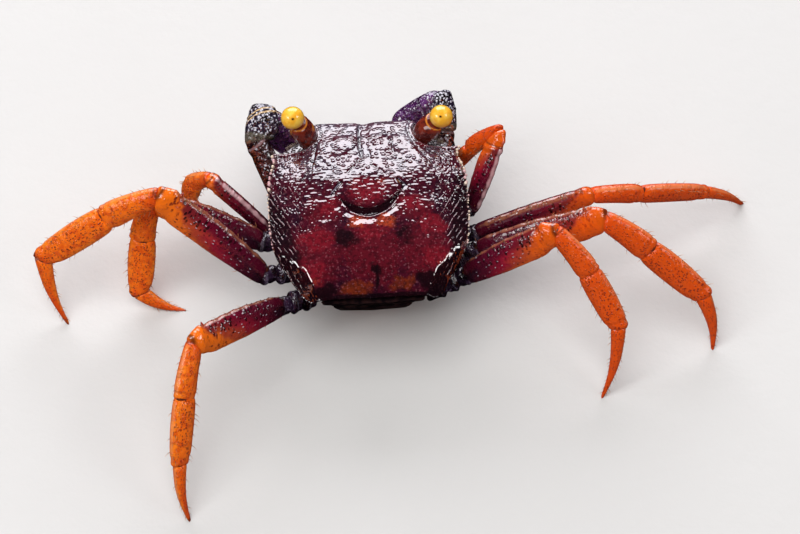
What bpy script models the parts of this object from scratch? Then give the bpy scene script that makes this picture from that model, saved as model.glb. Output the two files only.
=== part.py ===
"""Vampire crab: a small land crab, life size, standing still on the tips of its eight walking legs.

Metres, +Z up. The crab faces -Y and its own left side is at +X. The origin is on the floor, under the
middle of the whole animal. Each plate or segment that turns on its neighbour is an object of its own.
"""
import math

import bmesh
import bpy
from mathutils import Matrix, Vector

MM = 0.001
GAP = 0.3 * MM

# Shell, measured from its middle: across is to the side, ahead is towards the face
SHELL_FRONT = 10.1
SHELL_REAR = 8.3
SHELL_RIM_UP = 10.6
SHELL_CROWN = 1.45
SMILE_DEEP = 0.32
SHELL_FLOOR_UP = 6.6
SHELL_COLUMNS = 28
SHELL_ROWS = 26

# Half width of the shell at points ahead of its middle, from the rear edge to the front
SHELL_OUTLINE = (
    (-8.3, 5.50), (-7.9, 6.15), (-7.1, 6.60), (-6.2, 7.15), (-4.9, 7.95), (-3.8, 8.55), (-2.4, 8.82),
    (-0.5, 8.95), (2.0, 8.80), (4.2, 8.48), (5.0, 8.32), (5.35, 8.02), (6.7, 8.45), (7.6, 8.10),
    (8.8, 6.30), (10.1, 4.45),
)
# Half width of the back at the rear, where it turns down into the flanks, and how steeply they fall
BACK_EDGE = ((-8.3, 4.70), (-7.1, 5.35), (-6.2, 5.75), (-4.9, 7.00), (-3.8, 8.20), (-2.4, 8.82))
FLANK_FALL = 0.85
# Walls of the shell under its rim, from the rim down: share of the outline's width, of its length ahead
# and behind, how much more the cheeks are drawn in, and height. The walls draw in towards a line behind
# the middle.
SHELL_WALL = (
    (1.0, 1.0, 1.0, 0.0, 10.1), (0.975, 0.89, 0.90, 0.03, 9.1), (0.90, 0.80, 0.82, 0.16, 8.0),
    (0.74, 0.70, 0.72, 0.14, SHELL_FLOOR_UP),
)
WALL_LINE = -1.5

# Eye sockets in the front corners, and the eyes on their stalks
SOCKET_AT = (6.95, 8.75, 11.3)
SOCKET_SIZE = (2.75, 2.5, 2.05)
STALK_ROOT = (5.7, 8.2, 10.3)
EYE_AT = {"left": (6.45, 8.6, 13.5), "right": (7.0, 8.35, 13.1)}
EYE_RADIUS = 1.07
STALK_RADIUS = (0.82, 1.02, 0.94)

# Breast under the shell, from top to bottom: half width, reach behind and ahead, and height
BREAST_LEVELS = (
    (5.0, 5.7, 6.5, SHELL_FLOOR_UP - 0.3), (5.0, 5.4, 6.3, 4.3), (4.7, 4.5, 5.6, 3.4), (3.4, 3.4, 4.6, 2.8),
)

# Tail flap, tucked under: its path ahead and up, and its width
FLAP_PATH = (
    (-8.2, 9.0, 9.4), (-7.75, 8.0, 9.0), (-7.2, 7.1, 8.2), (-6.9, 6.3, 7.4), (-6.4, 5.0, 6.4),
    (-5.7, 3.7, 5.2), (-4.75, 2.5, 4.2), (-3.2, 2.0, 3.4), (-1.0, 2.05, 2.8), (0.9, 2.05, 2.2),
    (2.2, 2.05, 1.2),
)
FLAP_THICK = 0.8
FLAP_GROOVE = 0.14

# Outer mouthparts: two plates over the mouth, on the sloping lower face
MOUTH_PLATE_LOW = (1.45, 6.85, 3.3)
MOUTH_PLATE_HIGH = (1.75, 8.6, 8.1)
MOUTH_PLATE_WIDTH = 2.5
MOUTH_PLATE_THICK = 0.9
MOUTH_PLATE_SEAM = 0.55
MOUTH_PLATE_SHAPE = (
    (0.0, 0.62), (0.15, 0.78), (0.5, 0.98), (0.55, 0.90), (0.6, 0.98), (0.8, 1.0), (1.0, 0.66),
)

# Feelers beside the eye sockets
FEELER_ROOT = (3.9, 8.9, 8.3)
FEELER_TIP = (5.1, 10.0, 8.7)
FEELER_THICK = 0.55

# Lengths of merus, carpus, propodus and dactylus, which differ a little from side to side
LEG_LENGTH = {
    "left_1": (7.0, 3.8, 4.0, 4.3),
    "left_2": (10.5, 3.8, 5.7, 4.2),
    "left_3": (12.2, 5.5, 7.9, 6.9),
    "left_4": (11.1, 4.6, 6.0, 5.5),
    "right_1": (7.5, 3.8, 4.3, 4.8),
    "right_2": (11.0, 5.0, 7.2, 6.1),
    "right_3": (12.2, 4.9, 6.9, 5.8),
    "right_4": (10.4, 4.5, 5.8, 7.3),
}
LEG_WIDTH = {1: 2.3, 2: 3.1, 3: 3.4, 4: 3.0}
LEG_THICK = {1: 1.3, 2: 1.5, 3: 1.6, 4: 1.5}
FOOT_RADIUS = 0.25
CORNER_REACH = 0.45

# Teeth on the upper crest of each merus: how many, the shares of the way along between which they
# stand, half their foot as a share, how tall; and the one larger tooth before the knee
MERUS_TEETH = 6
MERUS_TOOTH_SPAN = (0.12, 0.76)
MERUS_TOOTH_FOOT = 0.045
MERUS_TOOTH_TALL = 0.2
END_TOOTH_AT = 0.875
END_TOOTH_TALL = 0.42

# Where each hip leaves the breast, across and ahead, and how it rises
HIP_ROOT = {1: (5.15, 2.9), 2: (5.15, 0.4), 3: (5.15, -2.1), 4: (5.15, -4.6)}
HIP_ROOT_UP = 4.5
HIP_RISE = 19.0
HIP_LENGTH = {1: 4.6, 2: 5.0, 3: 5.05, 4: 3.8}

# The stance of each leg, in degrees: the hip ahead of square, the merus ahead of square and above level,
# the turn of the leg's plane about the merus, the bends at the knee and the wrist, the twist at the
# wrist, and the bend at the ankle, which the floor then settles.
STANCE = {
    "left_1": (-15, 32, 35, 7, 89, 21, 2, 30),
    "left_2": (-1, 14, 20, -32, 97, 11, 0, 52),
    "left_3": (-13, 26, 35, -27, 70, 10, 8, 71),
    "left_4": (-29, -40, 27, -30, 69, 8, 4, 23),
    "right_1": (2, 60, 48, 58, 138, 24, 96, 0),
    "right_2": (-2, 9, 15, 6, 37, 0, 0, 27),
    "right_3": (4, -2, 24, -26, 57, 6, 2, 33),
    "right_4": (10, -2, 41, -35, 83, 12, 8, 39),
}

# Claws, as across, ahead and up: root and bend of the arm, start of the wrist, start of the palm, and
# the tip of the fingers
CLAW_JOINTS = {
    "left": ((5.15, 5.3, 4.3), (8.0, 5.5, 6.2), (9.8, 9.2, 9.4), (9.4, 11.4, 9.9), (5.4, 11.6, 2.6)),
    "right": ((5.15, 5.3, 4.3), (7.5, 5.7, 5.9), (7.1, 9.7, 8.9), (6.9, 11.9, 10.2), (0.6, 10.2, 5.0)),
}
# Which way the moving finger lies from the palm, as across, ahead and up
CLAW_TOP = {"left": (1.0, 0.25, 0.0), "right": (0.0, 0.0, 1.0)}
ARM_SIZE = (2.3, 1.9)
WRIST_SIZE = (2.7, 2.4)
PALM_SIZE = (4.0, 2.5)
FINGER_SIZE = (1.5, 1.2)
PALM_TEETH = (0.67, 0.75, 0.83, 0.91)
FINGER_TEETH = (0.25, 0.44, 0.63, 0.82)
TOOTH_FOOT = 0.03
FINGER_TOOTH_TALL = 0.15

# The moving finger's root: its share of the way along the hand, and its height over the hand's line,
# with the height of its tip
KNUCKLE_AT = 0.585
KNUCKLE_UP = 1.2
TIP_UP = 0.68

# Base colours, roughness
SKINS = {
    "shell": ((0.115, 0.012, 0.022), 0.28),
    "underside": ((0.20, 0.07, 0.06), 0.45),
    "dark_leg": ((0.10, 0.012, 0.025), 0.30),
    "orange_leg": ((0.62, 0.13, 0.022), 0.35),
    "claw": ((0.055, 0.012, 0.045), 0.30),
    "pale_finger": ((0.60, 0.38, 0.18), 0.35),
    "stalk": ((0.16, 0.018, 0.012), 0.25),
    "eye": ((0.85, 0.42, 0.03), 0.08),
}
SIDES = {"left": 1.0, "right": -1.0}


def clear_scene():
    for thing in list(bpy.data.objects):
        bpy.data.objects.remove(thing, do_unlink=True)


def make_skins():
    for name, (colour, roughness) in SKINS.items():
        skin = bpy.data.materials.new(name)
        skin.use_nodes = True
        shader = skin.node_tree.nodes["Principled BSDF"]
        shader.inputs["Base Color"].default_value = (*colour, 1.0)
        shader.inputs["Roughness"].default_value = roughness
        shader.inputs["Metallic"].default_value = 0.0


def place(side, across, ahead, up):
    """Turn millimetres across, ahead and up into a point of the model."""
    return Vector((side * across, -ahead, up)) * MM


def mix(a, b, share):
    return a + (b - a) * share


def ease(share):
    share = max(0.0, min(1.0, share))
    return share * share * (3.0 - 2.0 * share)


def read_curve(points, at):
    """Value at a place along a list of (place, value) pairs joined by straight lines."""
    if at <= points[0][0]:
        return points[0][1]
    for (x0, y0), (x1, y1) in zip(points, points[1:]):
        if at <= x1:
            return mix(y0, y1, (at - x0) / (x1 - x0))
    return points[-1][1]


def add_object(name, mesh_points, faces, skin):
    """Make one closed body whose faces point out."""
    form = bmesh.new()
    corners = [form.verts.new(point) for point in mesh_points]
    for face in faces:
        form.faces.new([corners[i] for i in face])
    bmesh.ops.triangulate(form, faces=form.faces[:])
    bmesh.ops.recalc_face_normals(form, faces=form.faces[:])
    mesh = bpy.data.meshes.new(name)
    form.to_mesh(mesh)
    form.free()
    mesh.materials.append(bpy.data.materials[skin])
    mesh.shade_smooth()
    mesh.set_sharp_from_angle(angle=math.radians(40))
    thing = bpy.data.objects.new(name, mesh)
    bpy.context.scene.collection.objects.link(thing)
    return thing


def loft(name, rings, skin):
    """Join rings of equally many points into a closed tube with flat ends."""
    count = len(rings[0])
    points = [point for ring in rings for point in ring]
    faces = []
    for i in range(len(rings) - 1):
        for j in range(count):
            k = (j + 1) % count
            faces.append((i * count + j, i * count + k, (i + 1) * count + k, (i + 1) * count + j))
    faces.append(tuple(range(count)))
    last = (len(rings) - 1) * count
    faces.append(tuple(range(last, last + count)))
    return add_object(name, points, faces, skin)


def evenly(count):
    """Shares of the way along, evenly spaced from one end to the other."""
    return [i / (count - 1) for i in range(count)]


def segment_rings(start, end, crest, start_plane, end_plane, profile, shares, sides=10, gaps=(1, 1)):
    """Rings of one limb segment between two joints, mitred to the planes of the joints.

    profile(s) gives, in millimetres at the share s of the way along, the reach towards the crest, the
    reach away from it, the half thickness, the bow towards the crest, and how far a tooth stands out
    on the crest and on the edge across from it.
    """
    along = (end - start).normalized()
    crest = (crest - along * crest.dot(along)).normalized()
    broad = along.cross(crest)
    length = (end - start).length
    made = []
    for s in shares:
        up_reach, down_reach, thick, bow, crest_tooth, keel_tooth = [value * MM for value in profile(s)]
        ring = []
        for j in range(sides):
            turn = 2.0 * math.pi * j / sides
            reach = up_reach if math.cos(turn) > 0 else down_reach
            if j == 0:
                reach += crest_tooth
            if 2 * j == sides:
                reach += keel_tooth
            aside = crest * (reach * math.cos(turn)) + broad * (thick * math.sin(turn))
            first = (0.5 * GAP * gaps[0] - aside.dot(start_plane)) / along.dot(start_plane)
            last = length - (0.5 * GAP * gaps[1] + aside.dot(end_plane)) / along.dot(end_plane)
            if gaps[0]:
                first = max(first, -CORNER_REACH * MM)
            if gaps[1]:
                last = min(last, length + CORNER_REACH * MM)
            ring.append(start + aside + crest * bow + along * mix(first, last, s))
        made.append(ring)
    return made


def bisector(before, after):
    return (before.normalized() + after.normalized()).normalized()


def shell_half_width(ahead):
    return read_curve(SHELL_OUTLINE, ahead)


def bump(across, ahead, middle_across, middle_ahead, half_wide, half_long):
    """A round rise on both halves of the back, 1 at its middle, which lies at the same place on each."""
    rise = 0.0
    for side in (-1.0, 1.0):
        far = ((across - side * middle_across) / half_wide) ** 2 + ((ahead - middle_ahead) / half_long) ** 2
        rise += math.exp(-far)
    return rise


def groove(offset, half_wide):
    return math.exp(-(offset / half_wide) ** 2)


def shell_top(across, ahead):
    """Height of the shell's back, in millimetres."""
    wide = min(1.0, abs(across) / 8.9)
    far = (ahead - 1.0) / 10.0
    height = SHELL_RIM_UP + SHELL_CROWN * (1.0 - wide ** 2.6) * (1.0 - abs(far) ** 2.6)
    if ahead > 6.3:
        height -= 0.9 * ((ahead - 6.3) / 3.6) ** 2 * (1.0 - 0.3 * wide)
    if ahead < BACK_EDGE[-1][0]:
        height -= FLANK_FALL * max(0.0, abs(across) - read_curve(BACK_EDGE, ahead))
    if ahead < -5.0:
        height -= 0.7 * ((-5.0 - ahead) / 3.3) ** 2
    smile = ahead - (-0.95 + 0.17 * across ** 2)
    if abs(across) < 3.2:
        height -= SMILE_DEEP * groove(smile, 0.42) * (1.0 - (across / 3.2) ** 4)
    wisp = ahead - (-0.6 - 0.35 * (abs(across) - 3.2))
    if 3.0 < abs(across) < 6.0:
        height -= 0.12 * groove(wisp, 0.5) * math.sin(math.pi * (abs(across) - 3.0) / 3.0)
    height -= 0.3 * groove(across, 0.5) * max(0.0, min(1.0, (ahead - 4.6) / 1.0))
    height += 0.28 * bump(across, ahead, 1.9, 6.7, 1.2, 0.9)
    height += 0.2 * bump(across, ahead, 4.3, 6.2, 1.2, 0.8)
    height += 0.22 * bump(across, ahead, 5.6, -1.5, 2.6, 3.6)
    height += 0.10 * bump(across, ahead, 2.3, 2.2, 1.6, 1.8)
    height += 0.07 * bump(across, ahead, 0.0, -3.2, 1.8, 1.3)
    return height


def carapace():
    rows = []
    for i in range(SHELL_ROWS + 1):
        ahead = mix(-SHELL_REAR, SHELL_FRONT, i / SHELL_ROWS)
        half = shell_half_width(ahead)
        row = []
        for j in range(SHELL_COLUMNS + 1):
            across = half * math.sin(0.5 * math.pi * mix(-1.0, 1.0, j / SHELL_COLUMNS) * 0.9)
            across /= math.sin(0.45 * math.pi)
            row.append((across, ahead))
        rows.append(row)
    points = [place(1, u, v, shell_top(u, v)) for row in rows for u, v in row]
    wide = SHELL_COLUMNS + 1
    faces = []
    for i in range(SHELL_ROWS):
        for j in range(SHELL_COLUMNS):
            a = i * wide + j
            faces.append((a, a + 1, a + wide + 1, a + wide))
    rim = [j for j in range(wide)]
    rim += [i * wide + SHELL_COLUMNS for i in range(1, SHELL_ROWS + 1)]
    rim += [SHELL_ROWS * wide + j for j in range(SHELL_COLUMNS - 1, -1, -1)]
    rim += [i * wide for i in range(SHELL_ROWS - 1, 0, -1)]
    loop = list(rim)
    for wide_share, front_share, rear_share, pinch, up in SHELL_WALL:
        lower = []
        for index in rim:
            point = points[index]
            ahead = -point.y / MM
            share = wide_share - pinch * ease((ahead - 1.0) / 5.0)
            long_share = front_share if ahead > WALL_LINE else rear_share
            lower.append(len(points))
            points.append(Vector((point.x * share, -mix(WALL_LINE, ahead, long_share) * MM,
                                  min(up * MM, point.z - 0.25 * MM))))
        for j in range(len(loop)):
            k = (j + 1) % len(loop)
            faces.append((loop[j], loop[k], lower[k], lower[j]))
        loop = lower
    faces.append(tuple(loop))
    shell = add_object("carapace", points, faces, "shell")
    for word, side in SIDES.items():
        bpy.ops.mesh.primitive_uv_sphere_add(segments=20, ring_count=12, radius=1.0,
                                             location=place(side, *SOCKET_AT))
        cutter = bpy.context.object
        cutter.name = f"eye_socket_cutter_{word}"
        cutter.scale = [size * MM for size in SOCKET_SIZE]
        cutter.hide_render = True
        cutter.display_type = "WIRE"
        cut = shell.modifiers.new(f"eye_socket_{word}", "BOOLEAN")
        cut.operation = "DIFFERENCE"
        cut.object = cutter
    return shell


def breast():
    rings = []
    for half, behind, front, up in BREAST_LEVELS:
        right = [(half, 0.5 - behind), (half, front - 0.9), (half - 1.0, front - 0.2), (half - 2.4, front)]
        left = [(-across, ahead) for across, ahead in reversed(right)]
        corners = right + left + [(1.0 - half, -behind), (half - 1.0, -behind)]
        rings.append([place(1, across, ahead, up) for across, ahead in corners])
    loft("breast", rings, "underside")


def tail_flap():
    """The plates of the tail follow one another along the path, with a groove where two meet."""
    rings = []
    section = ((-1.0, 0.25), (-0.55, 0.5), (0.0, 0.62), (0.55, 0.5), (1.0, 0.25),
               (1.0, -0.25), (0.0, -0.38), (-1.0, -0.25))
    for here, after in zip(FLAP_PATH, FLAP_PATH[1:]):
        along = Vector((0.0, here[0] - after[0], after[1] - here[1])).normalized()
        out = Vector((0.0, along.z, -along.y))
        for s, sunk, narrow in ((0.05, FLAP_GROOVE, 0.97), (0.22, 0.0, 1.0), (0.85, 0.0, 1.0)):
            ahead, up, width = [mix(a, b, s) for a, b in zip(here, after)]
            middle = place(1, 0.0, ahead, up)
            ring = []
            for share, depth in section:
                rise = depth * FLAP_THICK - (sunk if depth > 0 else 0.0)
                ring.append(middle + Vector((0.5 * width * narrow * share * MM, 0, 0)) + out * (rise * MM))
            rings.append(ring)
    loft("tail_flap", rings, "underside")


def eyes(word, side):
    root = place(side, *STALK_ROOT)
    eye = place(side, *EYE_AT[word])
    along = (eye - root).normalized()
    outward = Vector((side, 0, 0))
    neck = eye - along * (EYE_RADIUS * 0.45 * MM)

    def stalk_profile(s):
        radius = read_curve(((0.0, STALK_RADIUS[0]), (0.45, STALK_RADIUS[1]), (1.0, STALK_RADIUS[2])), s)
        return radius, radius, radius, 0.0, 0.0, 0.0

    rings = segment_rings(root, neck, outward, along, along, stalk_profile, evenly(5), sides=12, gaps=(0, 1))
    loft(f"eyestalk_{word}", rings, "stalk")
    base = neck + along * (0.5 * GAP)
    crest = (outward - along * outward.dot(along)).normalized()
    broad = along.cross(crest)
    rings = []
    low = math.acos(-0.30)
    for i in range(7):
        tilt = mix(low, math.radians(8), i / 6)
        radius = EYE_RADIUS * MM * math.sin(tilt)
        middle = base + along * (EYE_RADIUS * MM * (math.cos(tilt) + 0.30))
        ring = []
        for j in range(12):
            turn = 2 * math.pi * j / 12
            ring.append(middle + (crest * math.cos(turn) + broad * math.sin(turn)) * radius)
        rings.append(ring)
    loft(f"eye_{word}", rings, "eye")


def mouthparts(word, side):
    low = place(side, *MOUTH_PLATE_LOW)
    high = place(side, *MOUTH_PLATE_HIGH)
    along = (high - low).normalized()

    def plate(s):
        half = 0.5 * MOUTH_PLATE_WIDTH * read_curve(MOUTH_PLATE_SHAPE, s)
        thick = 0.5 * MOUTH_PLATE_THICK * (0.7 if abs(s - MOUTH_PLATE_SEAM) < 0.001 else 1.0)
        return half, half, thick, 0.0, 0.0, 0.0

    seam = (MOUTH_PLATE_SEAM - 0.05, MOUTH_PLATE_SEAM, MOUTH_PLATE_SEAM + 0.05)
    shares = (0.0, 0.15, 0.35) + seam + (0.75, 0.9, 1.0)
    rings = segment_rings(low, high, Vector((side, 0, 0)), along, along, plate, shares)
    loft(f"mouthpart_{word}", rings, "underside")


def feeler(word, side):
    root = place(side, *FEELER_ROOT)
    tip = place(side, *FEELER_TIP)
    along = (tip - root).normalized()

    def taper(s):
        half = 0.5 * FEELER_THICK * mix(1.5, 0.5, s)
        return half, half, half, 0.35 * math.sin(math.pi * s), 0.0, 0.0

    rings = segment_rings(root, tip, Vector((0, 0, 1)), along, along, taper, evenly(6), sides=6)
    loft(f"feeler_{word}", rings, "stalk")


def hip_profile(width):
    def profile(s):
        return mix(1.15, 0.85, s) * width, mix(1.15, 0.85, s) * width, mix(0.95, 0.72, s), 0.0, 0.0, 0.0
    return profile


def merus_profile(width, thick):
    curve = ((0.0, 0.62), (0.15, 0.80), (0.45, 1.0), (0.80, 0.98), (0.88, 0.95), (1.0, 0.68))

    def profile(s):
        half = 0.5 * width * read_curve(curve, s)
        bow = 0.12 * math.sin(math.pi * s)
        return half * 1.04, half * 0.96, 0.5 * thick * mix(0.95, 1.0, s), bow, merus_tooth(s), 0.0
    return profile


def merus_shares():
    """Ring places along a merus: its two ends, and the foot and the tip of each tooth on its crest."""
    shares = {0.0, 1.0}
    for i in range(MERUS_TEETH):
        tip = mix(*MERUS_TOOTH_SPAN, i / (MERUS_TEETH - 1))
        shares.update((tip - MERUS_TOOTH_FOOT, tip, tip + 0.35 * MERUS_TOOTH_FOOT))
    shares.update((END_TOOTH_AT - 0.04, END_TOOTH_AT, END_TOOTH_AT + 0.015))
    return sorted(shares)


def merus_tooth(s):
    """How far the crest's teeth stand out at the share s: small ones, then a larger one before the knee."""
    if abs(s - END_TOOTH_AT) < 0.001:
        return END_TOOTH_TALL
    for i in range(MERUS_TEETH):
        if abs(s - mix(*MERUS_TOOTH_SPAN, i / (MERUS_TEETH - 1))) < 0.001:
            return MERUS_TOOTH_TALL
    return 0.0


def carpus_profile(width, thick):
    def profile(s):
        half = 0.5 * width * read_curve(((0.0, 0.55), (0.3, 0.70), (0.8, 0.86), (1.0, 0.80)), s)
        return half, half * 0.92, 0.5 * thick * mix(0.98, 1.02, s), 0.15 * math.sin(math.pi * s), 0.0, 0.0
    return profile


def propodus_profile(width, thick):
    def profile(s):
        half = 0.5 * width * read_curve(((0.0, 0.78), (0.35, 0.88), (0.8, 0.78), (1.0, 0.56)), s)
        return half, half, 0.5 * thick * mix(0.95, 0.80, s), 0.08 * math.sin(math.pi * s), 0.0, 0.0
    return profile


def dactylus_profile(width, thick):
    def profile(s):
        half = mix(0.5 * width * 0.44, FOOT_RADIUS, s ** 0.8)
        bow = 0.42 * math.sin(math.pi * s)
        return half, half, mix(0.5 * thick * 0.72, FOOT_RADIUS, s ** 0.8), bow, 0.0, 0.0
    return profile


def leg_joints(word, number):
    """Joints from hip root to foot, and the direction away from the bends at each segment."""
    side = SIDES[word]
    angles = [math.radians(value) for value in STANCE[f"{word}_{number}"]]
    hip, ahead, rise, roll, knee, wrist, twist, ankle = angles
    lift = math.radians(HIP_RISE)
    across, along = HIP_ROOT[number]
    root = place(side, across, along, HIP_ROOT_UP)
    flat = math.cos(lift)
    hip_way = place(side, flat * math.cos(hip), flat * math.sin(hip), math.sin(lift)) / MM
    level = place(side, math.cos(ahead), math.sin(ahead), 0.0) / MM
    front = place(side, -math.sin(ahead), math.cos(ahead), 0.0) / MM
    way = level * math.cos(rise) + Vector((0, 0, math.sin(rise)))
    bend = level * math.sin(rise) - Vector((0, 0, math.cos(rise)))
    bend = bend * math.cos(roll) + front * math.sin(roll)
    joints = [root, root + hip_way * (HIP_LENGTH[number] * MM)]
    crests = [-bend]
    lengths = [value * MM for value in LEG_LENGTH[f"{word}_{number}"]]
    joints.append(joints[-1] + way * lengths[0])
    crests.append(-bend)
    for length, turn, spin in ((lengths[1], knee, 0.0), (lengths[2], wrist, twist)):
        bend = Matrix.Rotation(spin * side, 3, way) @ bend
        way, bend = turned(way, bend, turn)
        joints.append(joints[-1] + way * length)
        crests.append(-bend)
    way, bend = turned(way, bend, floor_bend(way, bend, -joints[-1].z / lengths[3], ankle))
    joints.append(joints[-1] + way * lengths[3])
    joints[-1].z = 0.0
    crests.append(-bend)
    return joints, crests


def turned(way, bend, turn):
    """Turn a segment's way towards its bend, and the bend with it."""
    return way * math.cos(turn) + bend * math.sin(turn), bend * math.cos(turn) - way * math.sin(turn)


def floor_bend(way, bend, drop, start):
    """Bend nearest to the start that makes the last segment fall by the given share of its length."""
    reach = math.hypot(way.z, bend.z)
    phase = math.atan2(bend.z, way.z)
    swing = math.acos(max(-1.0, min(1.0, drop / reach)))
    choices = [phase + swing, phase - swing, phase + swing - 2 * math.pi, phase - swing + 2 * math.pi]
    return min(choices, key=lambda turn: abs(turn - start))


def leg(word, number):
    joints, crests = leg_joints(word, number)
    ways = [(b - a).normalized() for a, b in zip(joints, joints[1:])]
    planes = [place(SIDES[word], 1, 0, 0).normalized()]
    planes += [bisector(a, b) for a, b in zip(ways, ways[1:])]
    planes.append(Vector((0, 0, -1)))
    width, thick = LEG_WIDTH[number], LEG_THICK[number]
    name = f"{word}_leg_{number}"
    segments = (
        ("hip", hip_profile(width / 3.0), evenly(4), "claw", (1, 1)),
        ("merus", merus_profile(width, thick), merus_shares(), "dark_leg", (1, 1)),
        ("carpus", carpus_profile(width, thick), evenly(6), "orange_leg", (1, 1)),
        ("propodus", propodus_profile(width, thick), evenly(6), "orange_leg", (1, 1)),
        ("dactylus", dactylus_profile(width, thick), evenly(8), "orange_leg", (1, 0)),
    )
    for i, (part, profile, shares, skin, gaps) in enumerate(segments):
        made = segment_rings(joints[i], joints[i + 1], crests[i], planes[i], planes[i + 1], profile,
                             shares, sides=8, gaps=gaps)
        loft(f"{name}_{part}", made, skin)


def arm_profile(s):
    half = 0.5 * ARM_SIZE[0] * read_curve(((0.0, 0.75), (0.6, 1.0), (1.0, 0.85)), s)
    return half, half, 0.5 * ARM_SIZE[1], 0.0, 0.0, 0.0


def arm_root_profile(s):
    half = 0.41 * ARM_SIZE[0]
    return half, half, 0.45 * ARM_SIZE[1], 0.0, 0.0, 0.0


def wrist_profile(s):
    half = 0.5 * WRIST_SIZE[0] * read_curve(((0.0, 0.72), (0.5, 1.0), (1.0, 0.80)), s)
    thick = 0.5 * WRIST_SIZE[1] * read_curve(((0.0, 0.8), (0.5, 1.0), (1.0, 0.8)), s)
    return half, half, thick, 0.0, 0.0, 0.0


def palm_profile(s):
    """The palm is whole up to its knuckle, and goes on under it as the fixed finger."""
    top = read_curve(((0.0, 0.30), (0.12, 0.42), (0.5, 0.52), (0.56, 0.40), (0.575, -0.20), (1.0, -0.19)), s)
    low = read_curve(((0.0, 0.32), (0.2, 0.46), (0.5, 0.48), (0.65, 0.40), (1.0, 0.20)), s)
    thick = read_curve(((0.0, 0.36), (0.25, 0.50), (0.5, 0.46), (0.62, 0.24), (1.0, 0.10)), s)
    half = 0.5 * (top + low) * PALM_SIZE[0]
    bow = 0.5 * (top - low) * PALM_SIZE[0]
    tooth = FINGER_TOOTH_TALL if any(abs(s - at) < 0.001 for at in PALM_TEETH) else 0.0
    return half, half, thick * PALM_SIZE[1], bow, tooth, 0.0


def finger_profile(s):
    half = 0.5 * FINGER_SIZE[0] * mix(1.0, 0.34, s)
    tooth = FINGER_TOOTH_TALL if any(abs(s - at) < 0.001 for at in FINGER_TEETH) else 0.0
    return half, half, 0.5 * FINGER_SIZE[1] * mix(1.0, 0.40, s), 0.5 * math.sin(math.pi * s), 0.0, tooth


def claw(word, side):
    hip, *joints = [place(side, *point) for point in CLAW_JOINTS[word]]
    ways = [(b - a).normalized() for a, b in zip(joints, joints[1:])]
    square = Vector((side, 0, 0))
    planes = [bisector(joints[0] - hip, ways[0]), bisector(ways[0], ways[1]), bisector(ways[1], ways[2])]
    crest = Vector((0, 0, 1))

    rings = segment_rings(hip, joints[0], crest, square, planes[0], arm_root_profile, evenly(3), gaps=(1, 0))
    rings = rings[:-1] + segment_rings(joints[0], joints[1], crest, planes[0], planes[1], arm_profile,
                                       evenly(6), gaps=(0, 1))
    loft(f"{word}_claw_arm", rings, "claw")
    rings = segment_rings(joints[1], joints[2], crest, planes[1], planes[2], wrist_profile, evenly(7))
    loft(f"{word}_claw_wrist", rings, "claw")

    hand = joints[3] - joints[2]
    upward = place(side, *CLAW_TOP[word])
    upward = (upward - hand * (upward.dot(hand) / hand.length_squared)).normalized()
    shares = sorted((0.0, 0.1, 0.22, 0.36, 0.48, 0.56, 0.575) + with_feet(PALM_TEETH) + (1.0,))
    rings = segment_rings(joints[2], joints[3], upward, planes[2], ways[2], palm_profile, shares)
    loft(f"{word}_claw_palm", rings, "claw")

    root = joints[2] + hand * KNUCKLE_AT + upward * (KNUCKLE_UP * MM)
    tip = joints[3] + upward * (TIP_UP * MM)
    shares = sorted((0.0, 0.12) + with_feet(FINGER_TEETH) + (1.0,))
    way = (tip - root).normalized()
    rings = segment_rings(root, tip, upward, ways[2], way, finger_profile, shares, sides=8)
    loft(f"{word}_claw_finger", rings, "pale_finger")


def with_feet(tips):
    """Ring places for teeth: each tip, with the two ends of its foot."""
    return tuple(tip + shift for tip in tips for shift in (-TOOTH_FOOT, 0.0, TOOTH_FOOT))


def stand_on_middle():
    """Move all so that the middle of the whole animal is over the origin and the feet are at zero."""
    solids = [thing for thing in bpy.context.scene.objects if thing.type == "MESH"]
    seen = [thing for thing in solids if not thing.hide_render]
    corners = [vertex.co for thing in seen for vertex in thing.data.vertices]
    low = Vector([min(corner[i] for corner in corners) for i in range(3)])
    high = Vector([max(corner[i] for corner in corners) for i in range(3)])
    shift = Vector((-0.5 * (low.x + high.x), -0.5 * (low.y + high.y), -low.z))
    for thing in seen:
        thing.data.transform(Matrix.Translation(shift))
    for thing in solids:
        if thing.hide_render:
            thing.location += shift


def main():
    clear_scene()
    make_skins()
    carapace()
    breast()
    tail_flap()
    for word, side in SIDES.items():
        eyes(word, side)
        mouthparts(word, side)
        feeler(word, side)
        claw(word, side)
        for number in (1, 2, 3, 4):
            leg(word, number)
    stand_on_middle()


main()
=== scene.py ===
# A life-size vampire crab standing on a pale floor: skins, shell relief, spines, bristles and finishes

import math
import bpy
import numpy as np
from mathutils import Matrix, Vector, noise
from random import Random


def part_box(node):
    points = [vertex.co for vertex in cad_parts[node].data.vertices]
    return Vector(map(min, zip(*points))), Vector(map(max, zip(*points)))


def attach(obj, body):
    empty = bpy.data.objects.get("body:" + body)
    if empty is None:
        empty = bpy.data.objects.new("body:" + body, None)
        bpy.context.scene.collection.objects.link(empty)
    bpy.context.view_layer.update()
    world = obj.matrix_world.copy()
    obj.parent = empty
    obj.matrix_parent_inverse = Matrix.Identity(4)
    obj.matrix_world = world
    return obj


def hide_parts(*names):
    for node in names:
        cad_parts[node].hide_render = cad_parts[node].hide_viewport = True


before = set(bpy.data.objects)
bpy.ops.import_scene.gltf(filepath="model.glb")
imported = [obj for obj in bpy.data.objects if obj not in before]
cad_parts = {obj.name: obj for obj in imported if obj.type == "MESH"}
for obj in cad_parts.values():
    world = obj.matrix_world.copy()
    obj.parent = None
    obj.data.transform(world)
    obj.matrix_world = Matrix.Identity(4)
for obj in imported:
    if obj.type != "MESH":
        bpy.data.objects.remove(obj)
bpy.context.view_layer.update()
MM = 0.001

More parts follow.
